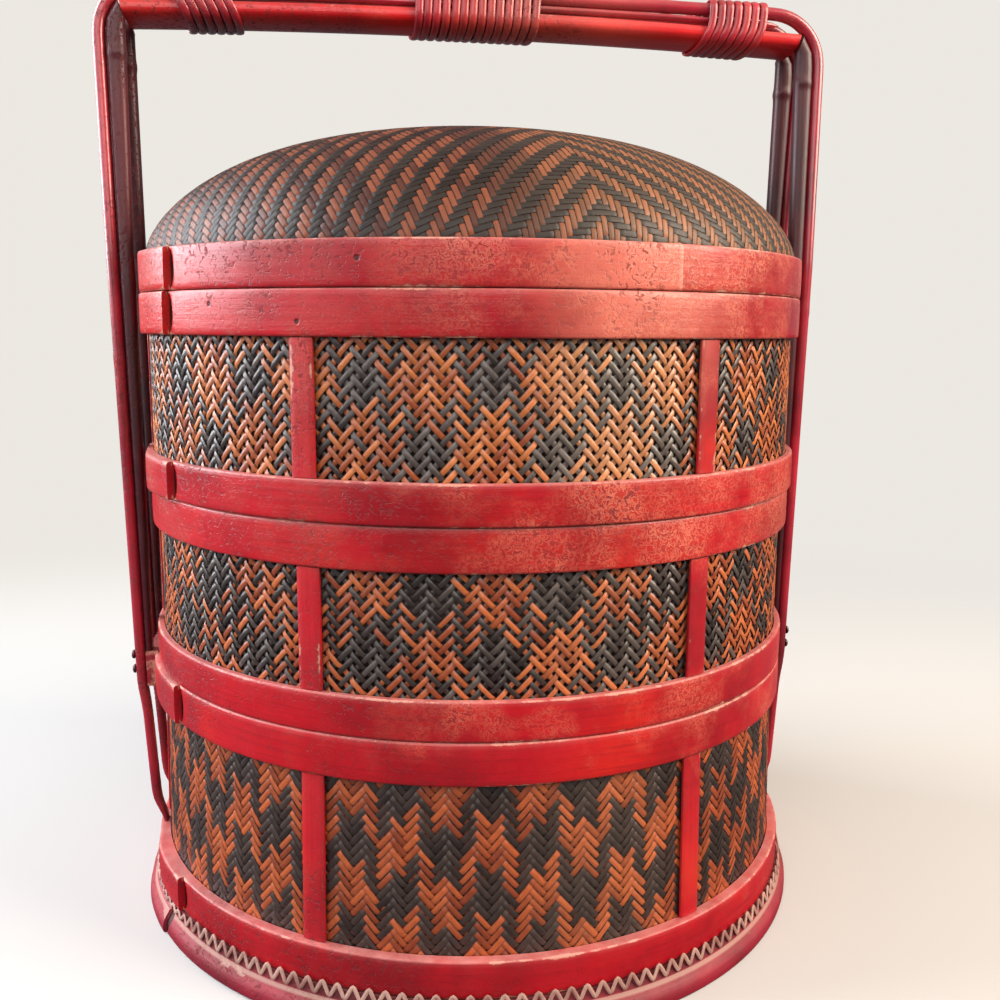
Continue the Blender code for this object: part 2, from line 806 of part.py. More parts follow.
def build_binding(name, share, turns, slant, parent):
    """A winding of flat rattan, as one unbroken strand with an oval section."""
    line = binding_line(share * crossbar_reach, turns, slant)
    core = Vector((0.0, (bail_top + crossbar_top - crossbar_depth) / 2.0))
    sections = []
    for index, here in enumerate(line):
        before = line[max(0, index - 1)]
        after = line[min(len(line) - 1, index + 1)]
        along = (after - before).normalized()
        out = Vector((0.0, here.y - core.x, here.z - core.y))
        out = (out - along * out.dot(along)).normalized()
        wide = along.cross(out)
        section = []
        for side in range(strand_sides):
            turn = 2.0 * math.pi * side / strand_sides
            section.append(
                here
                + out * (strand_thickness / 2.0 * math.sin(turn))
                + wide * (strand_width / 2.0 * math.cos(turn))
            )
        sections.append(section)
    gap = least_gap(line, turns)
    print(name, "least gap between turns:", round(gap * 1000.0, 2), "mm")
    return lofted(name, sections, False, rattan, parent)


def build_base_hoop(parent):
    """The thick hoop at the foot, with notches behind which the legs' tails are let in."""
    outline = band_outline(base_hoop_bore, base_hoop_radius, 0.0, base_hoop_height, hoop_edge)
    near, far = notch_turns()
    notches = []
    for centre in (upright_azimuth, 360.0 - upright_azimuth):
        notches.append((centre - far, centre - near, tail_outside))
        notches.append((centre + near, centre + far, tail_outside))
    lapped_hoop("base_hoop", outline, base_lap, red_lacquer, parent, plain_lap, notches)


def build_lid(parent):
    """The lid's hoop and its woven dome, open below."""
    outside = upper_bore - seat_gap
    inside = outside - wall_thickness
    hoop = band_outline(upper_bore, hoop_radius, 0.0, lid_hoop_height, hoop_edge)
    lapped_hoop("lid_hoop", hoop, lid_lap, red_lacquer, parent)

    def arch(radius, rise):
        points = []
        for step in range(dome_rings + 1):
            turn = math.pi / 2.0 * (1.0 - step / dome_rings)
            across = max(0.0, math.cos(turn)) ** (2.0 / dome_outline_share)
            up = max(0.0, math.sin(turn)) ** (2.0 / dome_height_share)
            points.append((radius * across, lid_hoop_height + rise * up))
        points[0] = (0.0, points[0][1])
        return points

    outer = arch(outside, dome_rise) + [(outside, 0.0)]
    inner = [(inside, 0.0)] + list(reversed(arch(inside, dome_rise - wall_thickness)))
    turned("lid_dome", outer + inner, False, dark_woven, parent)


red_lacquer = finish("red_lacquer", (0.52, 0.035, 0.045), 0.42)
dark_lacquer = finish("dark_lacquer", (0.16, 0.020, 0.028), 0.50)
woven = finish("woven_bamboo", (0.33, 0.13, 0.060), 0.55)
dark_woven = finish("dark_woven_bamboo", (0.12, 0.085, 0.065), 0.55)
plain_bamboo = finish("plain_bamboo", (0.42, 0.25, 0.12), 0.60)
aged_cane = finish("aged_cane", (0.34, 0.16, 0.13), 0.65)
rattan = finish("red_rattan", (0.50, 0.060, 0.060), 0.45)

ground = carrier("ground_body", 0.0)
stand = carrier("tier_3_body", base_level, ground)
tier_2_body = carrier("tier_2_body", tier_2_level, ground)
tier_1_body = carrier("tier_1_body", tier_1_level - tier_2_level, tier_2_body)
lid_body = carrier("lid_body", lid_level - tier_1_level, tier_1_body)

build_foot(ground)
build_base_hoop(stand)
build_tier_body(tier_3, stand)
for tier, body in ((tier_2, tier_2_body), (tier_1, tier_1_body)):
    heel = band_outline(tier.bore, tier.radius, 0.0, tier.heel_height, hoop_edge)
    lapped_hoop(tier.name + "_heel_hoop", heel, tier.heel_lap, red_lacquer, body)
    build_tier_body(tier, body)
build_lid(lid_body)

build_block("left_block", -1.0, ground)
build_block("right_block", 1.0, ground)
build_bail("front_bail", -1.0, ground)
build_bail("back_bail", 1.0, ground)
for hand_name, hand in zip(("left", "right"), (-1.0, 1.0)):
    for side_name, side in zip(("front", "back"), (-1.0, 1.0)):
        build_post(hand_name + "_" + side_name + "_post", hand, side, ground)
        for place_name, share in zip(("lower", "upper"), peg_height_shares):
            build_peg(hand_name + "_" + side_name + "_" + place_name + "_peg", hand, side, share, ground)
build_crossbar(ground)
build_filler("front_filler", -1.0, ground)
build_filler("back_filler", 1.0, ground)
build_binding("left_binding", left_binding_share, left_binding_turns, left_binding_slant, ground)
build_binding("middle_binding", middle_binding_share, middle_binding_turns, middle_binding_slant, ground)
build_binding("right_binding", right_binding_share, right_binding_turns, right_binding_slant, ground)
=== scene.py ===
# %% [markdown]
# # A tiered food basket of lacquered bamboo
#
# The plain solids of the basket are already there, in metres and in their places. This notebook
# dresses them: it weaves the walls and the domed lid strip by strip, bends finer hoops round them,
# winds the rattan on the grip, and gives every surface the lacquer, dust and wear of an old basket.
# It starts by loading the solids.

import math

import bpy
import numpy as np
from mathutils import Matrix, Vector


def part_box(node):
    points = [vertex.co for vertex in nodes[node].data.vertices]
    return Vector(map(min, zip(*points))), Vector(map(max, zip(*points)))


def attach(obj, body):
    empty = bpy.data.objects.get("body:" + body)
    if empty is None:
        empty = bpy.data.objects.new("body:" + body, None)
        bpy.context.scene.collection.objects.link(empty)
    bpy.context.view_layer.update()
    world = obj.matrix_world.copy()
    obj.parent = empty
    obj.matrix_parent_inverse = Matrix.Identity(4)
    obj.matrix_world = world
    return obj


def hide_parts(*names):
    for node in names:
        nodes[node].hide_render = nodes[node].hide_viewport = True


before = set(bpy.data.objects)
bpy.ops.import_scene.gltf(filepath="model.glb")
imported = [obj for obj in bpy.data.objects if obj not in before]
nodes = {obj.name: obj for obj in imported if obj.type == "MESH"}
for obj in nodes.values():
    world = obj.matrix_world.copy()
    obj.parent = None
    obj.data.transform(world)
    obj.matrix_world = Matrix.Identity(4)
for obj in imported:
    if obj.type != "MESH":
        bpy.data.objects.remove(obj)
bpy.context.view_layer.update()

MM = 0.001

# %% [markdown]
# ## The camera
#
# The viewpoint comes from the ellipses of the hoops: the lid's upper edge is nearly level with the eye and
# the foot ring is seen well from above. A person stands about half a metre from the front hoops, holds the
# camera a little above the middle of the basket and points it slightly down.

# %% Place the camera
eye_distance = 0.5585
eye_height = 0.2877
eye_turn = math.radians(7.2)
aim_turn = math.radians(8.75)
aim_down = math.radians(9.3)
aim_roll = math.radians(0.42)

camera_data = bpy.data.cameras.new("viewer")
camera_data.lens = 37.8
camera_data.sensor_width = 36.0
camera = bpy.data.objects.new("viewer", camera_data)
bpy.context.scene.collection.objects.link(camera)
camera.location = (-eye_distance * math.sin(eye_turn), -eye_distance * math.cos(eye_turn), eye_height)
turn = Matrix.Rotation(-aim_turn, 3, "Z")
tilt = Matrix.Rotation(math.pi / 2.0 - aim_down, 3, "X")
lean = Matrix.Rotation(aim_roll, 3, "Z")
camera.rotation_euler = (turn @ tilt @ lean).to_euler()
bpy.context.scene.camera = camera
print("the eye is at", [round(value, 3) for value in camera.location])

# %% [markdown]
# ## A plain room
#
# The basket stands on a pale floor that fades into a pale world, as a sheet of paper in a studio does. The lacquer
# would mirror such a floor and turn milky, so the basket itself sees a dark one. The hoops carry a cool sheen on
# their left and a warm one on their right. Mirroring the line of sight there shows where the light comes from:
# a window at the left, a little behind the basket, a dim pale wall beside it, and a warm room at the right.
# A weak lamp in front fills.

# %% Floor, lamps and world
bpy.ops.object.select_all(action="DESELECT")
bpy.ops.mesh.primitive_plane_add(size=8.0, location=(0.0, 0.0, 0.0))
floor = bpy.context.object
floor.name = "floor"
BACKDROP = (0.84, 0.81, 0.76, 1.0)
floor_finish = bpy.data.materials.new("pale_floor")
floor_finish.use_nodes = True
ground = floor_finish.node_tree
ground.nodes.clear()
ground_parts = {label: ground.nodes.new("ShaderNode" + kind) for label, kind in (
    ("pale", "BsdfDiffuse"), ("dark", "BsdfDiffuse"), ("far", "Emission"), ("spot", "TexCoord"), ("away", "VectorMath"),
    ("fade", "MapRange"), ("ray", "LightPath"), ("seen", "MixShader"), ("all", "MixShader"), ("out", "OutputMaterial"))}
ground_parts["pale"].inputs["Color"].default_value = (0.56, 0.55, 0.53, 1.0)
ground_parts["dark"].inputs["Color"].default_value = (0.09, 0.09, 0.10, 1.0)
ground_parts["far"].inputs["Color"].default_value = BACKDROP
ground_parts["away"].operation = "LENGTH"
ground_parts["fade"].interpolation_type = "SMOOTHSTEP"
ground_parts["fade"].inputs["From Min"].default_value = 0.28
ground_parts["fade"].inputs["From Max"].default_value = 1.0
for source, output, target, socket in (
        ("spot", "Object", "away", 0), ("away", "Value", "fade", 0), ("fade", 0, "seen", 0), ("pale", 0, "seen", 1),
        ("far", 0, "seen", 2), ("ray", "Is Camera Ray", "all", 0), ("dark", 0, "all", 1), ("seen", 0, "all", 2),
        ("all", 0, "out", 0)):
    ground.links.new(ground_parts[source].outputs[output], ground_parts[target].inputs[socket])
floor.data.materials.append(floor_finish)


def soft_lamp(name, place, aim, width, power, colour):
    """A broad square lamp that faces a point."""
    data = bpy.data.lights.new(name, "AREA")
    data.shape = "SQUARE"
    data.size = width
    data.energy = power
    data.color = colour
    lamp = bpy.data.objects.new(name, data)
    bpy.context.scene.collection.objects.link(lamp)
    lamp.location = place
    lamp.rotation_euler = (Vector(aim) - Vector(place)).to_track_quat("-Z", "Y").to_euler()
    return lamp


soft_lamp("window", (-1.45, 0.36, 0.94), (0.0, 0.0, 0.32), 1.3, 58.0, (0.91, 0.94, 1.0))
soft_lamp("warm_side", (1.22, -0.62, 0.98), (0.0, 0.0, 0.32), 1.0, 42.0, (1.0, 0.86, 0.72))
soft_lamp("pale_wall", (-1.30, -0.70, 0.70), (0.0, 0.0, 0.25), 1.1, 6.5, (0.95, 0.96, 1.0))
soft_lamp("front_fill", (-0.4, -1.7, 1.3), (0.0, 0.0, 0.16), 1.6, 24.0, (1.0, 0.98, 0.95))

room = bpy.data.worlds.new("room")
bpy.context.scene.world = room
room.use_nodes = True
sky = room.node_tree
sky.nodes.clear()
sky_out = sky.nodes.new("ShaderNodeOutputWorld")
sky_light = sky.nodes.new("ShaderNodeBackground")
sky_light.inputs["Color"].default_value = (0.93, 0.95, 1.0, 1.0)
sky_light.inputs["Strength"].default_value = 0.25
sky_seen = sky.nodes.new("ShaderNodeBackground")
sky_seen.inputs["Color"].default_value = BACKDROP
sky_seen.inputs["Strength"].default_value = 1.0
ray = sky.nodes.new("ShaderNodeLightPath")
pick = sky.nodes.new("ShaderNodeMixShader")
sky.links.new(ray.outputs["Is Camera Ray"], pick.inputs[0])
sky.links.new(sky_light.outputs[0], pick.inputs[1])
sky.links.new(sky_seen.outputs[0], pick.inputs[2])
sky.links.new(pick.outputs[0], sky_out.inputs["Surface"])
bpy.context.scene.view_settings.view_transform = "Standard"

# %% [markdown]
# ## Words for building finishes
#
# Every finish on the basket is a small graph of nodes. Two helpers keep the graphs readable: one adds a
# node and sets or links its inputs by name, and one makes a node group with named sockets, so that an effect
# such as dust is built once and used in many finishes.

# %% Helpers for finishes


def node(tree, kind, **inputs):
    """Add a node; an input may be a value or another node's output. Names may use _ for a space."""
    made = tree.nodes.new("ShaderNode" + kind)
    for key, value in inputs.items():
        if hasattr(made, key) and key not in made.inputs:
            setattr(made, key, value)
            continue
        name = key.replace("_", " ")
        socket = made.inputs[int(key[1:])] if key[0] == "i" and key[1:].isdigit() else made.inputs[name]
        if isinstance(value, bpy.types.NodeSocket):
            tree.links.new(value, socket)
        else:
            socket.default_value = value
    return made


def blend(tree, share, first, second, mode="MIX"):
    """Mix two colours by a share."""
    made = tree.nodes.new("ShaderNodeMix")
    made.data_type = "RGBA"
    made.blend_type = mode
    for socket, value in ((made.inputs[0], share), (made.inputs[6], first), (made.inputs[7], second)):
        if isinstance(value, bpy.types.NodeSocket):
            tree.links.new(value, socket)
        else:
            socket.default_value = value
    return made.outputs[2]


def sums(tree, operation, first, second=0.0, third=0.0, clamp=False):
    """One Math node."""
    made = tree.nodes.new("ShaderNodeMath")
    made.operation = operation
    made.use_clamp = clamp
    for socket, value in zip(made.inputs, (first, second, third)):
        if isinstance(value, bpy.types.NodeSocket):
            tree.links.new(value, socket)
        else:
            socket.default_value = value
    return made.outputs[0]


def span(tree, value, low, high, new_low=0.0, new_high=1.0):
    """Stretch the part of a value from low to high over a new span, clamped and eased."""
    made = tree.nodes.new("ShaderNodeMapRange")
    made.interpolation_type = "SMOOTHSTEP"
    tree.links.new(value, made.inputs[0])
    for socket, number in zip(list(made.inputs)[1:5], (low, high, new_low, new_high)):
        socket.default_value = number
    return made.outputs[0]


def colour(red, green, blue):
    """A colour as read off a picture, 0 to 255, made linear."""
    def linear(part):
        part = part / 255.0
        return part / 12.92 if part <= 0.04045 else ((part + 0.055) / 1.055) ** 2.4
    return (linear(red), linear(green), linear(blue), 1.0)


def new_group(name, inputs, outputs):
    """An empty node group with named sockets."""
    tree = bpy.data.node_groups.new(name, "ShaderNodeTree")
    for label, kind, default in inputs:
        socket = tree.interface.new_socket(label, in_out="INPUT", socket_type="NodeSocket" + kind)
        if default is not None:
            socket.default_value = default
    for label, kind in outputs:
        tree.interface.new_socket(label, in_out="OUTPUT", socket_type="NodeSocket" + kind)
    return tree, tree.nodes.new("NodeGroupInput"), tree.nodes.new("NodeGroupOutput")


def use_group(tree, group, **inputs):
    """Place a group and set or link its inputs by name."""
    made = tree.nodes.new("ShaderNodeGroup")
    made.node_tree = group
    for key, value in inputs.items():
        socket = made.inputs[key.replace("_", " ")]
        if isinstance(value, bpy.types.NodeSocket):
            tree.links.new(value, socket)
        else:
            socket.default_value = value
    return made


# %% [markdown]
# ## Crazed lacquer
#
# Old lacquer shrinks. Fine worm-shaped lines open in it, in patches, and show a paler ground. The lines are
# the contour of a noise: where its value is close to one half, there is a line. A slow noise says in which
# patches they show.

# %% The craze group
craze, craze_in, craze_out = new_group(
    "Crazed lacquer",
    [("Place", "Vector", None), ("Fineness", "Float", 470.0), ("Amount", "Float", 0.5)],
    [("Lines", "Float"), ("Pits", "Float"), ("Patches", "Float")],
)
fine = node(craze, "TexNoise", Vector=craze_in.outputs["Place"], Scale=craze_in.outputs["Fineness"],
            Detail=2.0, Roughness=0.55, Distortion=0.9)
off_half = sums(craze, "ABSOLUTE", sums(craze, "SUBTRACT", fine.outputs["Fac"], 0.5))
lines = span(craze, off_half, 0.016, 0.075, 1.0, 0.0)
pits = span(craze, fine.outputs["Fac"], 0.35, 0.46, 1.0, 0.0)
slow = node(craze, "TexNoise", Vector=craze_in.outputs["Place"], Scale=27.0, Detail=3.0, Roughness=0.6)
edge_of_patch = sums(craze, "SUBTRACT", 1.0, craze_in.outputs["Amount"])
patches = sums(craze, "MULTIPLY", sums(craze, "SUBTRACT", slow.outputs["Fac"],
               sums(craze, "MULTIPLY_ADD", edge_of_patch, 0.5, 0.22)), 4.0, clamp=True)
craze.links.new(sums(craze, "MULTIPLY", lines, patches), craze_out.inputs["Lines"])
craze.links.new(pits, craze_out.inputs["Pits"])
craze.links.new(patches, craze_out.inputs["Patches"])

# %% [markdown]
# ## Worn edges
#
# Each hoop, batten and pole carries a number on its vertices that is 1 on its edges and 0 on its flats; below 0 it
# marks painted shade, which the lacquer paints near-black.
# The group roughens that number with a noise, so that the lacquer is rubbed off in bites and not in a line.

# %% The wear group
wear, wear_in, wear_out = new_group(
    "Rubbed edges",
    [("Place", "Vector", None), ("Edge", "Float", 0.0), ("Amount", "Float", 0.5)],
    [("Bare", "Float"), ("Thin", "Float")],
)
bites = node(wear, "TexNoise", Vector=wear_in.outputs["Place"], Scale=160.0, Detail=4.0, Roughness=0.65)
drift = node(wear, "TexNoise", Vector=wear_in.outputs["Place"], Scale=21.0, Detail=2.0)
reach = sums(wear, "MULTIPLY_ADD", bites.outputs["Fac"], 0.9, sums(wear, "MULTIPLY", drift.outputs["Fac"], 0.9))
reach = sums(wear, "ADD", reach, sums(wear, "MULTIPLY", wear_in.outputs["Edge"], 0.50))
reach = sums(wear, "ADD", reach, sums(wear, "MULTIPLY_ADD", wear_in.outputs["Amount"], 0.5, -0.55))
wear.links.new(span(wear, reach, 0.98, 1.10), wear_out.inputs["Bare"])
wear.links.new(span(wear, reach, 0.72, 1.06), wear_out.inputs["Thin"])

# %% [markdown]
# ## Dust
#
# Dust lies where a surface looks up and where no hand reaches. The group mixes a grey tan over a colour by
# how far the surface faces up, broken by a noise.

# %% The dust group
dust, dust_in, dust_out = new_group(
    "Dust",
    [("Place", "Vector", None), ("Facing", "Vector", None), ("Colour", "Color", (0.5, 0.5, 0.5, 1.0)),
     ("Dust colour", "Color", colour(150, 128, 116)), ("Amount", "Float", 0.5), ("Turned up", "Float", 0.6)],
    [("Colour", "Color"), ("Share", "Float")],
)
up = node(dust, "SeparateXYZ", Vector=dust_in.outputs["Facing"])
cloud = node(dust, "TexNoise", Vector=dust_in.outputs["Place"], Scale=120.0, Detail=4.0, Roughness=0.6)
facing_up = sums(dust, "MULTIPLY_ADD", sums(dust, "MAXIMUM", up.outputs["Z"], 0.0), dust_in.outputs["Turned up"],
                 sums(dust, "SUBTRACT", 1.0, dust_in.outputs["Turned up"]))
share = sums(dust, "MULTIPLY", facing_up, span(dust, cloud.outputs["Fac"], 0.25, 0.75, 0.45, 1.0))
share = sums(dust, "MULTIPLY", share, dust_in.outputs["Amount"], clamp=True)
dust.links.new(blend(dust, share, dust_in.outputs["Colour"], dust_in.outputs["Dust colour"]),
               dust_out.inputs["Colour"])
dust.links.new(share, dust_out.inputs["Share"])

# %% [markdown]
# ## The lacquer finishes
#
# One function makes each lacquer: a deep and a bright tone drift into each other, streaks follow the bamboo's
# fibres, the craze and the rubbed edges come on top, and thin dust dulls what faces up. The numbers differ
# for the hoops, the darker poles and the foot.

# %% Lacquers


MARKS = ((-47.2, 0.2965, 1.3), (-22.3, 0.313, 1.4), (-31.2, 0.2895, 1.3))


def lacquer(name, deep, bright, warm, bare, craze_amount, wear_amount, dust_amount, gloss, coat=0.0):
    """A lacquer over bamboo. The UV map is in metres, U along the fibres."""
    material = bpy.data.materials.new(name)
    material.use_nodes = True
    tree = material.node_tree
    shader = tree.nodes["Principled BSDF"]
    place = node(tree, "TexCoord")
    spot = place.outputs["Object"]
    edge = node(tree, "Attribute", attribute_name="edge")
    tone = node(tree, "TexNoise", Vector=spot, Scale=13.0, Detail=5.0, Roughness=0.62)
    heat = node(tree, "TexNoise", Vector=spot, Scale=9.0, Detail=3.0, Roughness=0.5, Distortion=0.4)
    streak_place = node(tree, "Mapping", Vector=place.outputs["UV"], Scale=(22.0, 520.0, 1.0))
    streak = node(tree, "TexNoise", Vector=streak_place.outputs["Vector"], Scale=1.0, Detail=4.0, Roughness=0.65)
    body = blend(tree, span(tree, tone.outputs["Fac"], 0.34, 0.66), deep, bright)
    body = blend(tree, span(tree, heat.outputs["Fac"], 0.50, 0.68, 0.0, 0.75), body, warm)
    body = blend(tree, span(tree, streak.outputs["Fac"], 0.46, 0.74, 0.0, 0.55), body, deep)
    where = node(tree, "SeparateXYZ", Vector=spot)
    sunny = sums(tree, "MULTIPLY", span(tree, where.outputs["X"], -0.07, 0.08, 0.98, 1.24),
                 span(tree, where.outputs["Z"], 0.03, 0.22, 0.35, 1.0))
    cracks = use_group(tree, craze, Place=spot, Amount=sums(tree, "MULTIPLY", sunny, craze_amount))
    # A pale patch on the upper front right: partly fading of the lacquer, partly a painted warm sheen where the light
    # from the right falls.
    faded_and_sheen = sums(tree, "MULTIPLY", span(tree, where.outputs["X"], -0.01, 0.028), span(tree, where.outputs["Z"], 0.24, 0.285))
    faded_and_sheen = sums(tree, "MULTIPLY", faded_and_sheen, span(tree, where.outputs["X"], 0.062, 0.104, 1.0, 0.0))
    angle = sums(tree, "ARCTAN2", where.outputs["X"], sums(tree, "MULTIPLY", where.outputs["Y"], -1.0))
    on_lid = sums(tree, "MULTIPLY", sums(tree, "GREATER_THAN", where.outputs["Z"], LID_LOW), craze_amount > 0.5)
    past = sums(tree, "MULTIPLY", span(tree, angle, 0.3925, 0.3950), on_lid)
    seam = sums(tree, "MULTIPLY", span(tree, angle, 0.3800, 0.3925), sums(tree, "SUBTRACT", on_lid, past))
    faded_and_sheen = sums(tree, "MULTIPLY", faded_and_sheen, sums(tree, "MULTIPLY_ADD", past, -0.7, 1.0))
    faded_and_sheen = sums(tree, "MULTIPLY", faded_and_sheen, span(tree, tone.outputs["Fac"], 0.36, 0.56, 0.55, 1.0))
    body = blend(tree, sums(tree, "MULTIPLY", faded_and_sheen, craze_amount), body, colour(226, 134, 112))
    body = blend(tree, sums(tree, "MULTIPLY", seam, 0.45), body, colour(244, 176, 158))
    body = blend(tree, sums(tree, "MULTIPLY", cracks.outputs["Patches"], 0.20), body, colour(216, 104, 74))
    # The craze lines are pale tan, but on the left, where the window's sheen lies, they are painted dark: painted shade
    # where the cracks break that sheen.
    crack_tone_dark_in_sheen = blend(tree, span(tree, where.outputs["X"], -0.08, -0.01), colour(118, 10, 22), colour(232, 146, 116))
    body = blend(tree, sums(tree, "MULTIPLY", cracks.outputs["Lines"], 0.42), body, crack_tone_dark_in_sheen)
    pitted = sums(tree, "MULTIPLY", span(tree, where.outputs["X"], -0.11, -0.02, 1.0, 0.3),
                  span(tree, tone.outputs["Fac"], 0.42, 0.62, 1.0, 0.2))
    speckled = sums(tree, "MULTIPLY", faded_and_sheen, span(tree, heat.outputs["Fac"], 0.43, 0.55))
    pitted = sums(tree, "MAXIMUM", pitted, sums(tree, "MAXIMUM", speckled, cracks.outputs["Patches"]))
    pitted = sums(tree, "MULTIPLY", cracks.outputs["Pits"], pitted)
    pitted = sums(tree, "MULTIPLY", pitted, span(tree, where.outputs["X"], 0.048, 0.060, 1.0, 0.3))
    speck_tone = blend(tree, faded_and_sheen, colour(84, 5, 14), colour(112, 38, 26))
    body = blend(tree, sums(tree, "MULTIPLY", pitted, 0.7), body, speck_tone)
    dents = 0.0
    for azimuth, level, size in MARKS if craze_amount > 0.5 else ():
        turn = math.radians(azimuth)
        away = node(tree, "VectorMath", operation="DISTANCE", i0=spot,
                    i1=(LID_RADIUS * math.sin(turn), -LID_RADIUS * math.cos(turn), level)).outputs["Value"]
        dent = span(tree, away, 0.5 * size * MM, 1.1 * size * MM, 0.9, 0.0)
        body = blend(tree, dent, body, colour(48, 8, 10))
        dents = sums(tree, "ADD", dent, dents)
    rubbed = use_group(tree, wear, Place=spot, Edge=sums(tree, "MINIMUM", edge.outputs["Fac"], 1.0), Amount=wear_amount)
    body = blend(tree, sums(tree, "MULTIPLY", rubbed.outputs["Thin"], 0.30), body, colour(120, 28, 26))
    body = blend(tree, sums(tree, "MULTIPLY", rubbed.outputs["Bare"], 0.75), body, bare)
    # Above 1 the number gives the bare colour: wear at the lap ends, and on the foot's rolled shoulder partly a painted
    # highlight.
    body = blend(tree, span(tree, edge.outputs["Fac"], 1.02, 1.35, 0.0, 0.72), body, bare)
    # Below 0 the number paints near-black shade: in the slit in front of each hoop's lap end and on the foot's ledge
    # under the lacing.
    body = blend(tree, span(tree, edge.outputs["Fac"], -0.9, 0.1, 0.94, 0.0), body, colour(26, 8, 8))
    dusted = use_group(tree, dust, Place=spot, Facing=place.outputs["Normal"], Colour=body,
                       Dust_colour=colour(206, 146, 138), Amount=dust_amount, Turned_up=0.96)
    tree.links.new(dusted.outputs["Colour"], shader.inputs["Base Color"])
    dull = sums(tree, "MULTIPLY_ADD", rubbed.outputs["Thin"], 0.16, gloss)
    dull = sums(tree, "MULTIPLY_ADD", tone.outputs["Fac"], 0.14, dull)
    dull = sums(tree, "MULTIPLY_ADD", sums(tree, "MAXIMUM", pitted, dents), 0.5, dull)
    dull = sums(tree, "MULTIPLY_ADD", dusted.outputs["Share"], 0.25, dull, clamp=True)
    tree.links.new(dull, shader.inputs["Roughness"])
    shader.inputs["Specular IOR Level"].default_value = 0.42
    shader.inputs["Coat Weight"].default_value = coat
    shader.inputs["Coat Roughness"].default_value = 0.16
    relief = sums(tree, "MULTIPLY_ADD", cracks.outputs["Lines"], -0.35,
                  sums(tree, "MULTIPLY", streak.outputs["Fac"], 0.8))
    relief = sums(tree, "MULTIPLY_ADD", pitted, -1.0, relief)
    relief = sums(tree, "MULTIPLY_ADD", dents, -3.0, relief)
    relief = sums(tree, "MULTIPLY_ADD", rubbed.outputs["Bare"], -0.5, relief)
    bump = node(tree, "Bump", Height=relief, Strength=0.6, Distance=0.25 * MM)
    tree.links.new(bump.outputs["Normal"], shader.inputs["Normal"])
    return material


BARE = colour(206, 150, 126)
LID_LOW, LID_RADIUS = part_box("lid_hoop")[0].z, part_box("lid_hoop")[1].x
hoop_lacquer = lacquer("hoop_lacquer", colour(138, 2, 18), colour(188, 5, 24), colour(202, 28, 16), BARE,
                       0.56, 0.20, 0.62, 0.21)
pole_lacquer = lacquer("pole_lacquer", colour(104, 6, 20), colour(176, 22, 46), colour(186, 40, 52), BARE,
                       0.15, 0.12, 0.35, 0.24, 0.7)
grip_lacquer = lacquer("grip_lacquer", colour(158, 6, 18), colour(218, 20, 24), colour(224, 44, 24), BARE,
                       0.20, 0.12, 0.35, 0.26, 0.2)
rattan_lacquer = lacquer("rattan_lacquer", colour(112, 8, 20), colour(184, 30, 44), colour(196, 62, 48), BARE,
                         0.20, 0.26, 0.30, 0.26, 0.4)
dark_lacquer = lacquer("dark_lacquer", colour(36, 3, 9), colour(68, 7, 18), colour(88, 14, 22), BARE,
                       0.10, 0.10, 0.10, 0.34)
batten_lacquer = lacquer("batten_lacquer", colour(142, 6, 22), colour(192, 14, 30), colour(204, 44, 26), BARE,
                         0.44, 0.34, 0.50, 0.30)
foot_lacquer = lacquer("foot_lacquer", colour(108, 12, 28), colour(160, 28, 50), colour(136, 42, 36),
                       colour(178, 140, 126), 0.20, 0.0, 0.18, 0.44)
print("lacquers:", [item.name for item in bpy.data.materials if "lacquer" in item.name])

# %% [markdown]
# ## Sheets that become strips
#
# Nearly everything on a basket is a strip that was flat once. So each strip here starts as a flat grid,
# one unit long and one unit wide. Its x says how far along the strip a vertex is and its y how far across,
# and a rule then carries every vertex to its place. A second helper copies the strip with an Array modifier,
# so that a whole wall of strips is one mesh, and its UV map still counts the strips.

# %% Helpers for strips


def flat_sheet(name, along, across, copies=1):
    """A grid of along by across squares and its copies. Returns the object and, for each vertex, how far along
    and across it lies, both from 0 to 1, and the number of its copy."""
    bpy.ops.object.select_all(action="DESELECT")
    bpy.ops.mesh.primitive_grid_add(x_subdivisions=along, y_subdivisions=across, size=1.0, calc_uvs=True)
    sheet = bpy.context.object
    sheet.name = name
    sheet.data.name = name
    if copies > 1:
        array = sheet.modifiers.new("Copies", "ARRAY")
        array.count = copies
        array.use_relative_offset = False
        array.use_constant_offset = True
        array.constant_offset_displace = (0.0, 2.0, 0.0)
        array.offset_v = 1.0
        bpy.ops.object.modifier_apply(modifier=array.name)
    flat = np.empty(len(sheet.data.vertices) * 3)
    sheet.data.vertices.foreach_get("co", flat)
    flat = flat.reshape(-1, 3)
    number = np.round(flat[:, 1] / 2.0)
    return sheet, flat[:, 0] + 0.5, flat[:, 1] - 2.0 * number + 0.5, number.astype(int)


def carry(sheet, x, y, z):
    """Move every vertex of a sheet to its place, shade it smooth and leave the object at the origin."""
    spots = np.stack([x, y, z], axis=1)
    sheet.data.vertices.foreach_set("co", spots.ravel())
    sheet.data.update()
    sheet.location = (0.0, 0.0, 0.0)
    sheet.data.shade_smooth()


def keep(sheet, wanted):
    """Drop the vertices that aren't wanted."""
    bpy.ops.object.select_all(action="DESELECT")
    bpy.context.view_layer.objects.active = sheet
    sheet.select_set(True)
    bpy.ops.object.mode_set(mode="EDIT")
    bpy.ops.mesh.select_mode(type="VERT")
    bpy.ops.mesh.select_all(action="DESELECT")
    bpy.ops.object.mode_set(mode="OBJECT")
    sheet.data.vertices.foreach_set("select", ~wanted)
    bpy.ops.object.mode_set(mode="EDIT")
    bpy.ops.mesh.delete(type="VERT")
    bpy.ops.object.mode_set(mode="OBJECT")


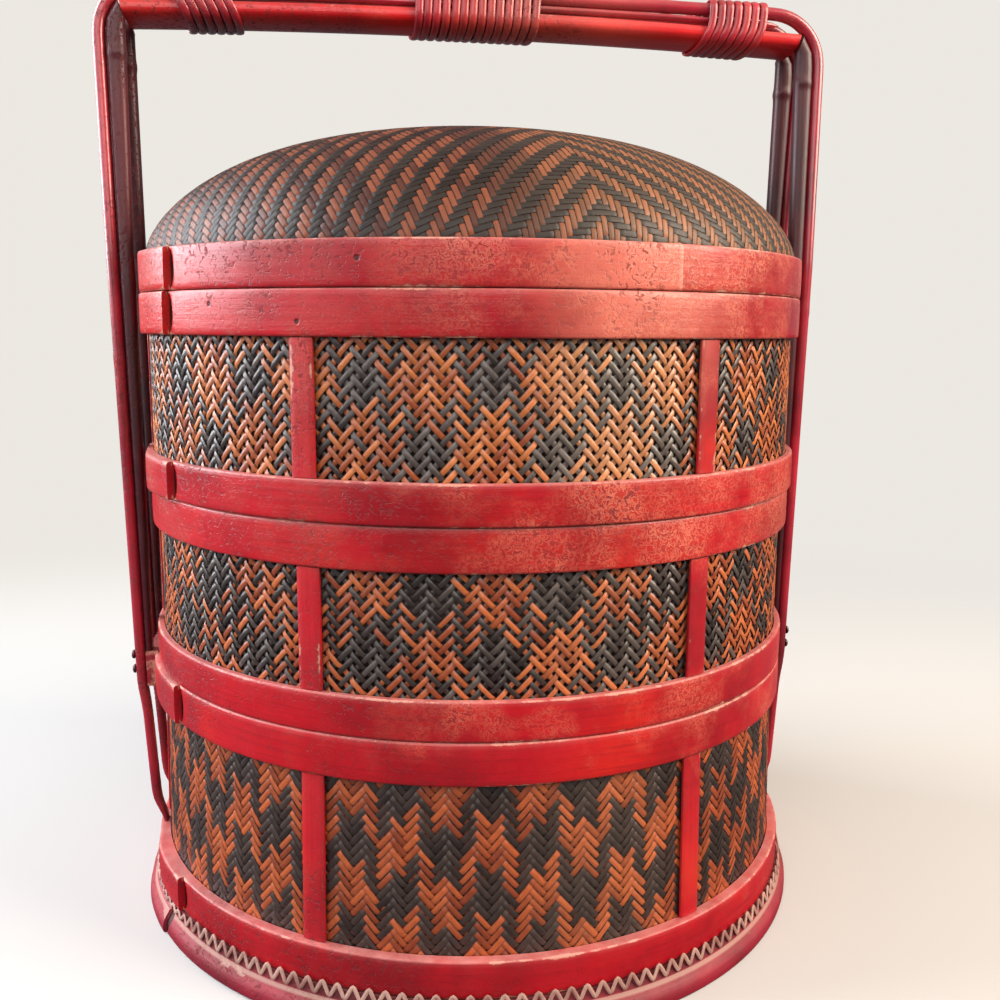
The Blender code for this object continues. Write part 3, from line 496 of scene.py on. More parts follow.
def close_tube(tube, ends=False):
    """Merge the long seam of a sheet that was rolled into a tube, cap its ends and turn its faces out."""
    bpy.ops.object.select_all(action="DESELECT")
    bpy.context.view_layer.objects.active = tube
    tube.select_set(True)
    bpy.ops.object.mode_set(mode="EDIT")
    bpy.ops.mesh.select_all(action="SELECT")
    bpy.ops.mesh.remove_doubles(threshold=0.002 * MM)
    if ends:
        bpy.ops.mesh.select_all(action="DESELECT")
        bpy.ops.mesh.select_mode(type="EDGE")
        bpy.ops.mesh.select_non_manifold(extend=False)
        bpy.ops.mesh.fill_holes(sides=0)
        bpy.ops.mesh.select_all(action="SELECT")
    bpy.ops.mesh.normals_make_consistent(inside=False)
    bpy.ops.object.mode_set(mode="OBJECT")
    tube.data.shade_smooth()
    tube.data.set_sharp_from_angle(angle=math.radians(50.0))


def wear_and_shade_number(sheet, values):
    """Keep a number on each vertex: 0 on the flats and 1 on the edges for wear, above 1 for bare patches, which on the
    foot's shoulder are partly a painted highlight, and below 0 for painted near-black shade.
    """
    layer = sheet.data.attributes.new("edge", "FLOAT", "POINT")
    layer.data.foreach_set("value", values.astype(np.float32))


def metres(sheet, run, side):
    """Measure the UV map in metres: U along the strip and V across it."""
    corners = np.empty(len(sheet.data.loops), dtype=np.int32)
    sheet.data.loops.foreach_get("vertex_index", corners)
    places = np.stack([run[corners], side[corners]], axis=1)
    sheet.data.uv_layers.active.data.foreach_set("uv", places.ravel())


def run_length(points):
    """How far along a line each of its points lies."""
    steps = np.linalg.norm(np.diff(points, axis=0), axis=1)
    return np.concatenate([[0.0], np.cumsum(steps)])


def sweep(name, path, outs, wides, outline, sizes=None):
    """Roll a flat sheet into a strip that follows a path. The outline is a list of (out, wide, worn), and sizes
    may scale out and wide at each point of the path."""
    path, outs, wides = np.array(path), np.array(outs), np.array(wides)
    shape = np.array(list(outline) + [outline[0]])
    sizes = np.ones((len(path), 2)) if sizes is None else np.array(sizes)
    sheet, along, across, number = flat_sheet(name, len(path) - 1, len(shape) - 1)
    here = np.round(along * (len(path) - 1)).astype(int)
    part = np.round(across * (len(shape) - 1)).astype(int)
    spots = (path[here] + outs[here] * (shape[part, 0] * sizes[here, 0])[:, None]
             + wides[here] * (shape[part, 1] * sizes[here, 1])[:, None])
    carry(sheet, *spots.T)
    wear_and_shade_number(sheet, shape[part, 2])
    metres(sheet, run_length(path)[here], run_length(shape[:, :2])[part])
    close_tube(sheet, ends=True)
    return sheet


def rounded(thick, wide, power=3.0, count=16, worn=1.0):
    """A section between an ellipse and a rectangle, as (out, wide, worn) with its corners most worn."""
    turns = np.linspace(0.0, 2.0 * math.pi, count, endpoint=False) + math.pi / count
    points = []
    for turn in turns:
        c, s = math.cos(turn), math.sin(turn)
        size = (abs(c) ** power + abs(s) ** power) ** (-1.0 / power)
        corner = max(0.0, abs(math.sin(2.0 * turn))) ** 3.0
        points.append((thick / 2.0 * size * c, wide / 2.0 * size * s, worn * corner))
    return points


def smooth_line(points, passes=2):
    """Round the kinks of a line, without moving its ends."""
    points = np.array(points, dtype=float)
    for _ in range(passes):
        points[1:-1] = 0.25 * points[:-2] + 0.5 * points[1:-1] + 0.25 * points[2:]
    return points


def evenly(points, gap):
    """The line cut anew at equal steps of about one gap."""
    points = np.array(points, dtype=float)
    run = run_length(points)
    stops = np.linspace(0.0, run[-1], max(2, int(round(run[-1] / gap)) + 1))
    return np.stack([np.interp(stops, run, points[:, axis]) for axis in range(points.shape[1])], axis=1)


def dress(piece, material, slot, body, *stands_for):
    """Give a finished piece its material, the body it moves with and the solids it stands for. The slot is not used."""
    piece.data.materials.clear()
    piece.data.materials.append(material)
    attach(piece, body)
    if stands_for:
        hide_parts(*stands_for)


print("a strip is a flat sheet until it is carried to its place")

# %% [markdown]
# ## The strips' finish
#
# Half of the strips are dyed orange brown and half black. A number on each strip says which. The UV map's V
# counts the strips, and from it each strip gets its own tone, since each was split and dyed by hand. Varnish
# leaves a dull shine on top.

# %% Woven finishes


def strip_finish(name, seed, orange, orange_two, black, black_two, dust_amount, dust_colour, gloss=0.34,
                 shine=0.58, fade=(0.0, 0.1, 0.2, 0.3, 0.0)):
    """Split bamboo, dyed black where the strip's number is 0 and orange where it is 1. Between two places across
    the basket, given by fade, the dye is lightened by a share: partly fading, partly a painted warm sheen."""
    material = bpy.data.materials.new(name)
    material.use_nodes = True
    tree = material.node_tree
    shader = tree.nodes["Principled BSDF"]
    place = node(tree, "TexCoord")
    spot = place.outputs["Object"]
    uv = node(tree, "SeparateXYZ", Vector=place.outputs["UV"])
    number = sums(tree, "FLOOR", uv.outputs["Y"])
    across = sums(tree, "SUBTRACT", uv.outputs["Y"], number)
    own = node(tree, "TexWhiteNoise", noise_dimensions="1D", W=sums(tree, "ADD", number, seed * 7.31 + 0.5))
    drift = node(tree, "TexNoise", Vector=spot, Scale=28.0, Detail=3.0, Roughness=0.6)
    grain = node(tree, "Mapping", Vector=place.outputs["UV"], Scale=(34.0, 7.0, 1.0))
    fibre = node(tree, "TexNoise", Vector=grain.outputs["Vector"], Scale=1.0, Detail=4.0, Roughness=0.7)
    tone = sums(tree, "MULTIPLY_ADD", own.outputs["Value"], 0.55, sums(tree, "MULTIPLY", drift.outputs["Fac"], 0.75))
    tone = span(tree, tone, 0.35, 0.95)
    where = node(tree, "SeparateXYZ", Vector=spot)
    # Between the places in fade both dyes are lightened towards straw: partly fading, partly a painted warm sheen where
    # the light from the right falls.
    faded_and_sheen = sums(tree, "MULTIPLY", span(tree, where.outputs["X"], *fade[:2], 0.0, fade[4]),
                 span(tree, where.outputs["X"], *fade[2:4], 1.0, 0.0))
    warm = blend(tree, faded_and_sheen, blend(tree, tone, orange, orange_two), colour(222, 166, 116))
    cold = blend(tree, sums(tree, "MULTIPLY", faded_and_sheen, 0.42), blend(tree, tone, black, black_two), colour(176, 162, 144))
    body = blend(tree, node(tree, "Attribute", attribute_name="dye").outputs["Fac"], cold, warm)
    # The sides of each strip are darkened: painted shade where it meets and dips under its neighbours.
    rim = span(tree, sums(tree, "ABSOLUTE", sums(tree, "SUBTRACT", across, 0.5)), 0.28, 0.5, 0.0, 0.35)
    body = blend(tree, rim, body, colour(36, 18, 12))
    body = blend(tree, span(tree, fibre.outputs["Fac"], 0.46, 0.72, 0.0, 0.5), body, colour(54, 28, 20))
    dusted = use_group(tree, dust, Place=spot, Facing=place.outputs["Normal"], Colour=body,
                       Dust_colour=dust_colour, Amount=dust_amount, Turned_up=0.7)
    tree.links.new(dusted.outputs["Colour"], shader.inputs["Base Color"])
    shader.inputs["Specular IOR Level"].default_value = shine
    dull = sums(tree, "MULTIPLY_ADD", fibre.outputs["Fac"], 0.2, gloss - 0.1)
    dull = sums(tree, "MULTIPLY_ADD", dusted.outputs["Share"], 0.3, dull, clamp=True)
    tree.links.new(dull, shader.inputs["Roughness"])
    bump = node(tree, "Bump", Height=fibre.outputs["Fac"], Strength=0.35, Distance=0.15 * MM)
    tree.links.new(bump.outputs["Normal"], shader.inputs["Normal"])
    return material


DUST_TAN = colour(150, 120, 102)
# Each tier has its own dye tones, and the lower tiers are darker partly as painted shade, for the light that reaches
# them less.
tier_dyes_and_shade = {
    "tier_1": (colour(144, 62, 24), colour(204, 116, 58), colour(30, 26, 25), colour(88, 80, 76)),
    "tier_2": (colour(138, 56, 22), colour(200, 104, 52), colour(17, 15, 15), colour(78, 70, 66)),
    "tier_3": (colour(132, 52, 19), colour(186, 88, 42), colour(22, 17, 16), colour(54, 43, 39)),
}

# %% [markdown]
# ## The woven walls
#
# Two sets of strips lean against each other at about fifty degrees. Each strip goes over as many strips of
# the other set as it goes under: two in the open weave of the upper tiers, three in the close weave of the
# lowest. Whether a strip is on top depends only on how far round the wall the crossing lies, so the floats
# stack into upright columns that lean left and right in turn.

# %% Weave a wall


def dye_strips(sheet, number, strips, first_black, black_run, orange_run, strays, chance):
    """Dye the strips in runs, with a stray strip of the other dye now and then. The runs meet at the back."""
    place = (np.arange(strips) + strips // 2) % strips - strips // 2
    dyed = ((place - first_black) % (black_run + orange_run) >= black_run) != (chance.random(strips) < strays)
    layer = sheet.data.attributes.new("dye", "FLOAT", "POINT")
    layer.data.foreach_set("value", dyed.astype(np.float32)[number])


def weave_wall(tier, body, strips, over, rise, width_share, thickness, runs, first_black, strays):
    """Both sets of strips of one wall, between its hoops, and the lining behind them, painted near-black as shade."""
    wall_low, wall_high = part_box(tier + "_wall")
    radius = wall_high.x
    rim_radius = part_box(tier + "_rim_hoop")[1].x - HOOP_DEPTH - 0.3 * MM
    chance = np.random.default_rng(strips + over + runs[0])
    heel = tier + "_heel_hoop" if tier + "_heel_hoop" in nodes else "base_hoop"
    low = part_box(heel)[1].z - 3.0 * MM
    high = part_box(tier + "_rim_hoop")[0].z + 3.0 * MM
    pitch = 2.0 * math.pi * radius / strips
    half = 0.5 * (high - low) / rise
    middle = 0.5 * (low + high)

    def wall_radius(level):
        return np.interp(level, [low + 3.0 * MM, high - 3.0 * MM], [radius, rim_radius])

    crossings = int(math.ceil(half / (pitch / 2.0)))
    width = width_share * pitch * math.sin(math.atan(rise))
    lean = math.atan(rise)
    made = []
    for sign, label in ((1.0, "rising"), (-1.0, "falling")):
        stations = 2 * (2 * crossings + 1) - 1
        name = tier + "_" + label + "_strips"
        sheet, along, across, number = flat_sheet(name, stations, 3, strips)
        step = np.round(along * stations).astype(int)
        crossing = step // 2 - crossings
        place = crossing + np.where(step % 2 == 0, -0.3, 0.3)
        phase = (2 * number + sign * crossing) % (2 * over)
        on_top = (phase < over) if sign > 0.0 else (phase >= over)
        mid_float = np.abs((phase % over) - (over - 1) / 2.0 + (place - crossing) * sign) / (over / 2.0)
        arch = 0.25 * (1.0 - np.clip(mid_float, 0.0, 1.0) ** 2)
        lift = np.where(on_top, -0.12 + 0.12 * arch, -1.12 + 0.1 * arch) * thickness
        own_width = chance.uniform(0.86, 1.04, strips)[number]
        own_shift = chance.uniform(-0.05, 0.05, strips)[number] * pitch
        sideways = (across - 0.5) * width * own_width
        crown = -0.28 * thickness * (np.abs(across - 0.5) > 0.4)
        forward = place * pitch / 2.0
        run = number * pitch + own_shift + sign * forward - sideways * math.sin(lean) * sign
        level = middle + rise * forward + sideways * math.cos(lean)
        level = np.clip(level, low, high)
        turn = run / radius
        reach = wall_radius(level) + lift + crown
        carry(sheet, reach * np.sin(turn), -reach * np.cos(turn), level)
        dye_strips(sheet, number, strips, first_black[0 if sign > 0.0 else 1], *runs, strays, chance)
        # Tier 1 takes the strongest pale patch at the front right: partly fading of the dye, partly a painted warm
        # sheen.
        dye = strip_finish(name + "_dye", 3 + over, *tier_dyes_and_shade[tier], 0.20, DUST_TAN,
                           fade=(-0.005, 0.022, 0.055, 0.075, 0.45 if tier == "tier_1" else 0.08))
        dress(sheet, dye, "woven_bamboo", body, tier + "_wall")
        made.append(sheet)
    lining, along, across, number = flat_sheet(tier + "_lining", 96, 1)
    turn = along * 2.0 * math.pi
    level = low + (high - low) * across
    reach = wall_radius(level) - 2.3 * thickness
    carry(lining, reach * np.sin(turn), -reach * np.cos(turn), level)
    close_tube(lining)
    solid = lining.modifiers.new("Thickness", "SOLIDIFY")
    solid.thickness = WALL_DEPTH - 2.3 * thickness
    solid.offset = -1.0
    bpy.ops.object.select_all(action="DESELECT")
    bpy.context.view_layer.objects.active = lining
    lining.select_set(True)
    bpy.ops.object.modifier_apply(modifier=solid.name)
    dress(lining, shade_lining_finish, "woven_bamboo", body, tier + "_wall")
    triangles = sum(len(face.vertices) - 2 for piece in made for face in piece.data.polygons)
    print(tier, strips, "strips each way,", triangles, "triangles")
    return made


WALL_DEPTH = 2.6 * MM
HOOP_DEPTH = 3.2 * MM
# The lining behind the open weave, and the skin under the dome, are painted near-black: painted shade of the inside.
shade_lining_finish = bpy.data.materials.new("lining_painted_shade")
shade_lining_finish.use_nodes = True
lining_tree = shade_lining_finish.node_tree
lining_shader = lining_tree.nodes["Principled BSDF"]
lining_spot = node(lining_tree, "TexCoord").outputs["Object"]
lining_cloud = node(lining_tree, "TexNoise", Vector=lining_spot, Scale=60.0, Detail=3.0)
lining_tree.links.new(blend(lining_tree, lining_cloud.outputs["Fac"], colour(22, 12, 10), colour(48, 26, 20)),
                      lining_shader.inputs["Base Color"])
lining_shader.inputs["Roughness"].default_value = 0.8

weave_wall("tier_1", "tier_1_body", 200, 2, 1.095, 0.62, 0.95 * MM, (4, 6), (-6, -2), 0.03)
weave_wall("tier_2", "tier_2_body", 192, 2, 1.03, 0.62, 0.95 * MM, (5, 5), (-2, 4), 0.10)
weave_wall("tier_3", "carrying_body", 261, 3, 1.137, 0.93, 0.80 * MM, (5, 5), (-2, 2), 0.02)

# %% [markdown]
# ## The woven dome
#
# The lid is woven flat first and then pressed over a form. All strips of one set are brown and all of the
# other black. The twill turns round where the strip number changes sign, so the bands run out from the middle
# in four quarters and meet in arrowheads. Each strip is drawn flat with the middle of the sheet at the apex,
# and a point at some distance from the middle lands at the same distance along the dome.

# %% Weave the dome
dome_low, dome_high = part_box("lid_dome")
lid_hoop_low, lid_hoop_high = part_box("lid_hoop")
dome_radius = dome_high.x
dome_base = lid_hoop_high.z
dome_rise = dome_high.z - dome_base
outline_turn = np.linspace(math.pi / 2.0, 0.0, 400)
outline_r = dome_radius * np.clip(np.cos(outline_turn), 0.0, None) ** (2.0 / 2.62)
outline_z = dome_base + dome_rise * np.clip(np.sin(outline_turn), 0.0, None) ** (2.0 / 1.6)
outline_r[0] = 0.0
outline_r = np.append(outline_r, dome_radius)
outline_z = np.append(outline_z, dome_base - 4.0 * MM)
outline_s = np.concatenate([[0.0], np.cumsum(np.hypot(np.diff(outline_r), np.diff(outline_z)))])
dome_reach = outline_s[-1]
dome_pitch = 2.72 * MM
dome_turn = math.radians(11.0)
print("the dome is", round(dome_reach * 1000.0), "mm from apex to rim along its skin")


def onto_dome(flat_a, flat_b, lift):
    """Carry points of the flat weave onto the dome, lifted off its skin."""
    far = np.hypot(flat_a, flat_b)
    direction = np.arctan2(flat_a, -flat_b)
    radius = np.interp(far, outline_s, outline_r)
    level = np.interp(far, outline_s, outline_z)
    slope_r = np.interp(far + 0.5 * MM, outline_s, outline_r) - np.interp(far - 0.5 * MM, outline_s, outline_r)
    slope_z = np.interp(far + 0.5 * MM, outline_s, outline_z) - np.interp(far - 0.5 * MM, outline_s, outline_z)
    length = np.maximum(np.hypot(slope_r, slope_z), 1e-9)
    radius = radius - slope_z / length * lift
    level = level + slope_r / length * lift
    return radius * np.sin(direction), -radius * np.cos(direction), level


def weave_dome(label, count, over, thickness, material):
    """One of the two sets of strips over the dome."""
    strips = 2 * count + 1
    stations = 2 * strips - 1
    sheet, along, across, number = flat_sheet("lid_" + label + "_strips", stations, 2, strips)
    step = np.round(along * stations).astype(int)
    crossing = step // 2 - count
    place = crossing + np.where(step % 2 == 0, -0.28, 0.28)
    line = number - count
    brown = label == "brown"
    first, second = (line, crossing) if brown else (crossing, line)
    phase = (np.abs(first) - np.abs(second)) % (2 * over)
    on_top = (phase < over) if brown else (phase >= over)
    lift = np.where(on_top, -0.1, -0.95) * thickness - 0.26 * thickness * (np.abs(across - 0.5) > 0.4)
    sideways = line + (across - 0.5) * 0.90
    flat_a, flat_b = (sideways, place) if brown else (place, sideways)
    flat_a, flat_b = flat_a * dome_pitch, flat_b * dome_pitch
    turned_a = flat_a * math.cos(dome_turn) - flat_b * math.sin(dome_turn)
    turned_b = flat_b * math.cos(dome_turn) + flat_a * math.sin(dome_turn)
    inside = np.hypot(turned_a, turned_b) < dome_reach
    carry(sheet, *onto_dome(turned_a, turned_b, lift))
    layer = sheet.data.attributes.new("dye", "FLOAT", "POINT")
    layer.data.foreach_set("value", np.full(len(number), float(brown), dtype=np.float32))
    keep(sheet, inside)
    dress(sheet, material, "dark_woven_bamboo", "lid_body", "lid_dome")
    print(sheet.name, len(sheet.data.polygons) * 2, "triangles")
    return sheet


DUST_GREY = colour(104, 86, 76)
dome_count = int(math.ceil(dome_reach / dome_pitch))
# On the dome's right the fade span lightens the strips as painted warm light.
dome_dye = strip_finish("dome_dye", 3, colour(72, 34, 24), colour(134, 72, 46), colour(17, 15, 13), colour(42, 36, 31),
                        0.12, DUST_GREY, 0.46, 0.30, (-0.03, 0.06, 0.10, 0.19, 0.22))
weave_dome("brown", dome_count, 3, 0.85 * MM, dome_dye)
weave_dome("black", dome_count, 3, 0.85 * MM, dome_dye)

# The skin under the dome's strips takes the same near-black painted shade.
lid_skin, along, across, number = flat_sheet("lid_skin", 96, 24)
skin_turn = along * 2.0 * math.pi
skin_far = across * (outline_s[-1])
skin_r = np.interp(skin_far, outline_s, outline_r) - 1.9 * MM * (across > 0.02)
skin_r = np.where(across < 0.5 / 24.0, 0.0, np.maximum(skin_r, 0.2 * MM))
skin_z = np.interp(skin_far, outline_s, outline_z) - 1.9 * MM
skin_z = np.where(across > 0.99, dome_low.z, skin_z)
carry(lid_skin, skin_r * np.sin(skin_turn), -skin_r * np.cos(skin_turn), skin_z)
close_tube(lid_skin)
dress(lid_skin, shade_lining_finish, "dark_woven_bamboo", "lid_body", "lid_dome")

# %% [markdown]
# ## Hoops
#
# A hoop is one bamboo strip bent into a ring, with its outer end laid over the inner one and pinned. The flat
# sheet is rolled twice: across, it becomes the strip's rounded section, and along, it goes round the basket.
# The outer end stands proud by the strip's thickness and then sinks back into the ring. In front of the end
# the two strips part a little, and the slit between them is painted near-black as shade.

# %% Bend the hoops


def bend_ring(name, outline, lap, turn_away, lap_thickness, lap_run, lap_fade, slit=1.5 * MM, steps=230):
    """A ring from an outline of (radius, level, worn, share of the lap that it takes). A worn number below 0 paints
    near-black shade, and so does the slit in front of the lap's end.
    """
    shape = np.array(list(outline) + [outline[0]])
    radius, low, high = shape[:, 0].max(), shape[:, 1].min(), shape[:, 1].max()
    sheet, along, across, number = flat_sheet(name + "_bent", steps, len(outline))
    row = np.round(across * len(outline)).astype(int)
    reach, level, worn, carried = shape[row].T
    spare = 42
    close_by = np.concatenate([np.linspace(-2.0, 0.08, 26), np.linspace(0.3, lap_run + lap_fade, 16)]) % 360.0
    stations = np.sort(np.concatenate([np.linspace(0.0, 360.0, steps + 1 - spare), close_by]))
    behind = stations[np.round(along * steps).astype(int)]
    back = np.where(behind > 357.0, behind - 360.0, behind)
    middle = np.clip(4.0 * (level - low) * (high - level) / (high - low) ** 2, 0.0, 1.0)
    proud = np.where(back > 0.0, np.clip(1.0 - (back - lap_run) / lap_fade, 0.0, 1.0), 0.0)
    parted_and_shaded = np.clip(1.0 - (back / (0.05 + 1.75 * middle ** 0.8)) ** 2, 0.0, 1.0) * (back < 0.0) * (back > -2.1)
    parted_and_shaded = parted_and_shaded ** 0.6 * np.clip(middle * 3.0, 0.0, 1.0)
    azimuth = np.radians(lap + turn_away * behind)
    wave = 0.20 * MM * np.sin(azimuth * 3.0 + lap) + 0.12 * MM * np.sin(azimuth * 7.0 + 2.0 * lap)
    reach = reach + carried * (proud * lap_thickness - parted_and_shaded * slit - 0.25 * MM)
    level = level + wave * 0.5 * (middle > 0.04)
    carry(sheet, reach * np.sin(azimuth), -reach * np.cos(azimuth), level)
    end_wear = np.clip(1.0 - np.abs(back - 0.2) / 2.4, 0.0, 1.0)
    worn = np.clip(worn + 0.8 * end_wear * carried, -1.0, 1.4)
    worn = np.where((back > 0.0) & (back < 0.2) & (carried > 0.5), 0.05, worn)
    # The slit in front of the lap's end gets -1 here, which the lacquer paints near-black as shade.
    wear_and_shade_number(sheet, np.where(parted_and_shaded * carried > 0.3, -1.0, worn))
    metres(sheet, np.radians(behind) * radius, run_length(shape[:, :2])[row])
    close_tube(sheet)
    return sheet


def hoop_outline(low, high, radius, depth, edge=1.0 * MM, crown=0.16 * MM):
    """A flat strip's section with rounded outer edges and a slightly domed face."""
    points = [(-depth, 0.0, 0.2), (-depth * 0.5, 0.0, 0.3)]
    for part in (0.0, 0.3, 0.62, 1.0):
        bend = part * math.pi / 2.0
        points.append((edge * (math.sin(bend) - 1.0), edge * (1.0 - math.cos(bend)), 1.0 if 0.0 < part < 1.0 else 0.7))
    height = high - low
    for part in (0.16, 0.3, 0.5, 0.7, 0.84):
        points.append((crown * math.sin(part * math.pi), height * part, 0.25 if part in (0.16, 0.84) else 0.0))
    points += [(out, height - up, worn) for out, up, worn in reversed(points[:6])]
    return [(radius + out, low + up, worn, min(1.0, 1.0 + out / depth)) for out, up, worn in points]


def bend_hoop(name, body, lap, turn_away, depth=HOOP_DEPTH, lap_run=12.0, lap_fade=7.0):
    """A hoop that stands for the solid of the same name, with its lap's end at an azimuth from the front."""
    low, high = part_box(name)
    outline = hoop_outline(low.z, high.z, high.x, depth)
    sheet = bend_ring(name, outline, lap, turn_away, 2.3 * MM, lap_run, lap_fade)
    dress(sheet, hoop_lacquer, "red_lacquer", body, name)
    return sheet


bend_hoop("lid_hoop", "lid_body", -58.0, -1.0)
bend_hoop("tier_1_rim_hoop", "tier_1_body", -59.0, -1.0)
bend_hoop("tier_1_heel_hoop", "tier_1_body", -60.0, -1.0)
bend_hoop("tier_2_rim_hoop", "tier_2_body", 140.0, 1.0)
bend_hoop("tier_2_heel_hoop", "tier_2_body", 158.0, 1.0)
bend_hoop("tier_3_rim_hoop", "carrying_body", -62.6, -1.0, lap_run=19.0, lap_fade=0.8)
bend_hoop("base_hoop", "carrying_body", -61.5, -1.0, depth=5.0 * MM)

# %% [markdown]
# ## Battens
#
# Six strips a tier stand over the weave, between the hoops. A batten is a short sweep of a rounded section:
# one is made for each place, so that every batten has its own mesh and its own grain.

# %% Set the battens
BATTEN_AZIMUTHS = (-151.0, -90.0, -31.0, 29.0, 90.0, 149.0)


def radial(azimuth):
    """The directions outwards and sideways at an azimuth from the front."""
    turn = math.radians(azimuth)
    return np.array([math.sin(turn), -math.cos(turn), 0.0]), np.array([math.cos(turn), math.sin(turn), 0.0])


for tier, body in (("tier_1", "tier_1_body"), ("tier_2", "tier_2_body"), ("tier_3", "carrying_body")):
    wall_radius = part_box(tier + "_wall")[1].x
    rim_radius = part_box(tier + "_rim_hoop")[1].x - HOOP_DEPTH - 0.3 * MM
    for number, azimuth in enumerate(BATTEN_AZIMUTHS, start=1):
        name = tier + "_batten_" + str(number)
        low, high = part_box(name)
        out, wide = radial(azimuth)
        levels = np.linspace(low.z, high.z, 15)
        reach = np.interp(levels, [low.z, high.z], [wall_radius, rim_radius]) + 1.3 * MM
        path = out * reach[:, None] + np.array([0.0, 0.0, 1.0]) * levels[:, None]
        batten = sweep(name + "_strip", path, np.tile(out, (15, 1)), np.tile(wide, (15, 1)),
                       rounded(2.0 * MM, 10.6 * MM, 5.0, 20, 0.9))
        dress(batten, batten_lacquer, "red_lacquer", body, name)
print("18 battens of", round((high.z - low.z) * 1000.0), "mm and shorter")

# %% [markdown]
# ## The foot
#
# The foot ring is bent like a hoop, from a section with a rolled shoulder and a sloping ledge. One long split
# of cane is laced over the ledge, up over the edge of the base hoop and down again, 150 times round. Its path
# is a soft zigzag on a cone, and the strand is swept along it.

# %% Bend the foot ring and lace its ledge
foot_low, foot_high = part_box("foot_ring")
base_low, base_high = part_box("base_hoop")
foot_radius = foot_high.x
base_radius = base_high.x
foot_bore = foot_radius - 22.2 * MM
ledge_root = base_radius + 0.3 * MM
ledge_foot = foot_radius - 3.9 * MM
ledge_low = 11.6 * MM
foot_outline = [(foot_bore, 0.0, 0.1, 0.0), (foot_radius - 1.2 * MM, 0.0, 0.2, 1.0)]
for part in (0.35, 0.7, 1.0):
    bend = part * math.pi / 2.0
    foot_outline.append((foot_radius + 1.4 * MM * (math.sin(bend) - 1.0), 1.4 * MM * (1.0 - math.cos(bend)), 0.35, 1.0))
# Numbers above 1 on the rolled shoulder give a pale band, partly wear and partly a painted highlight where the shoulder
# turns up to the light.
for inward, level, worn in ((0.0, 3.0, 0.1), (0.1, 4.8, 0.1), (0.6, 6.3, 0.3), (1.4, 7.6, 0.7), (2.3, 8.9, 1.05),
                            (3.0, 10.1, 1.4), (3.5, 11.0, 1.3)):
    foot_outline.append((foot_radius - inward * MM, level * MM, worn, 1.0))
# The ledge under the lacing and the top of the bore get numbers below 0: the lacquer paints them dark as shade under
# the lacing and the base hoop.
foot_outline += [(ledge_foot, ledge_low, -0.30, 0.0), (ledge_root, foot_high.z, -0.45, 0.0),
                 (foot_bore, foot_high.z, -0.8, 0.0)]
foot_ring = bend_ring("foot_ring", foot_outline, -65.5, -1.0, 1.2 * MM, 12.0, 7.0, slit=0.8 * MM)
dress(foot_ring, foot_lacquer, "aged_cane", "carrying_body", "foot_ring")

turns, parts = 150, 12
count = turns * parts
azimuths = 180.0 + 360.0 * np.arange(count + 1) / count
phase = np.arange(count + 1) / parts
swing = 0.5 + 0.5 * np.clip(1.06 * (1.0 - 4.0 * np.abs((phase % 1.0) - 0.5)), -1.0, 1.0)
lap_near = np.clip(1.0 - np.abs(azimuths - 360.0 + 70.5) / 14.0, 0.0, 1.0)
climb = 4.0 * MM * (1.0 - np.clip(lap_near * 3.0, 0.0, 1.0))
top = np.stack([np.full(count + 1, ledge_root), base_low.z - 0.3 * MM + climb], axis=1)
foot = np.array([ledge_foot, ledge_low])
down = (foot - top) / np.linalg.norm(foot - top, axis=1)[:, None]
out = np.stack([-down[:, 1], down[:, 0]], axis=1)
length = np.linalg.norm(foot - top, axis=1)
gone = 0.9 * MM + (length - 1.5 * MM) * swing
flat = top + down * gone[:, None] + out * 0.75 * MM
turn = np.radians(azimuths)
lacing_path = np.stack([flat[:, 0] * np.sin(turn), -flat[:, 0] * np.cos(turn), flat[:, 1]], axis=1)
lacing_path = smooth_line(lacing_path, 1)
outs = np.stack([out[:, 0] * np.sin(turn), -out[:, 0] * np.cos(turn), out[:, 1]], axis=1)
along_path = np.gradient(lacing_path, axis=0)
wides = np.cross(along_path, outs)
wides /= np.linalg.norm(wides, axis=1)[:, None]
lacing = sweep("foot_lacing_strand", lacing_path, outs, wides, rounded(0.9 * MM, 1.8 * MM, 2.6, 8, 0.6))

lacing_cane = bpy.data.materials.new("lacing_cane")
lacing_cane.use_nodes = True
cane = lacing_cane.node_tree
cane_place = node(cane, "TexCoord")
cane_cloud = node(cane, "TexNoise", Vector=cane_place.outputs["Object"], Scale=55.0, Detail=4.0, Roughness=0.65)
cane_stretch = node(cane, "Mapping", Vector=cane_place.outputs["UV"], Scale=(60.0, 1500.0, 1.0))
cane_fibre = node(cane, "TexNoise", Vector=cane_stretch.outputs["Vector"], Scale=1.0, Detail=3.0)
cane_body = blend(cane, span(cane, cane_cloud.outputs["Fac"], 0.35, 0.65), colour(132, 86, 76), colour(186, 146, 130))
cane_body = blend(cane, span(cane, cane_fibre.outputs["Fac"], 0.45, 0.75, 0.0, 0.5), cane_body, colour(104, 52, 48))
cane_dusted = use_group(cane, dust, Place=cane_place.outputs["Object"], Facing=cane_place.outputs["Normal"],
                        Colour=cane_body, Dust_colour=colour(190, 156, 146), Amount=0.4, Turned_up=0.9)
cane_shader = cane.nodes["Principled BSDF"]
cane.links.new(cane_dusted.outputs["Colour"], cane_shader.inputs["Base Color"])
cane.links.new(span(cane, cane_cloud.outputs["Fac"], 0.3, 0.7, 0.5, 0.7), cane_shader.inputs["Roughness"])
cane_bump = node(cane, "Bump", Height=cane_fibre.outputs["Fac"], Strength=0.4, Distance=0.1 * MM)
cane.links.new(cane_bump.outputs["Normal"], cane_shader.inputs["Normal"])
dress(lacing, lacing_cane, "aged_cane", "carrying_body", "foot_lacing")
print("the lacing is", round(float(run_length(lacing_path)[-1]), 2), "m long")

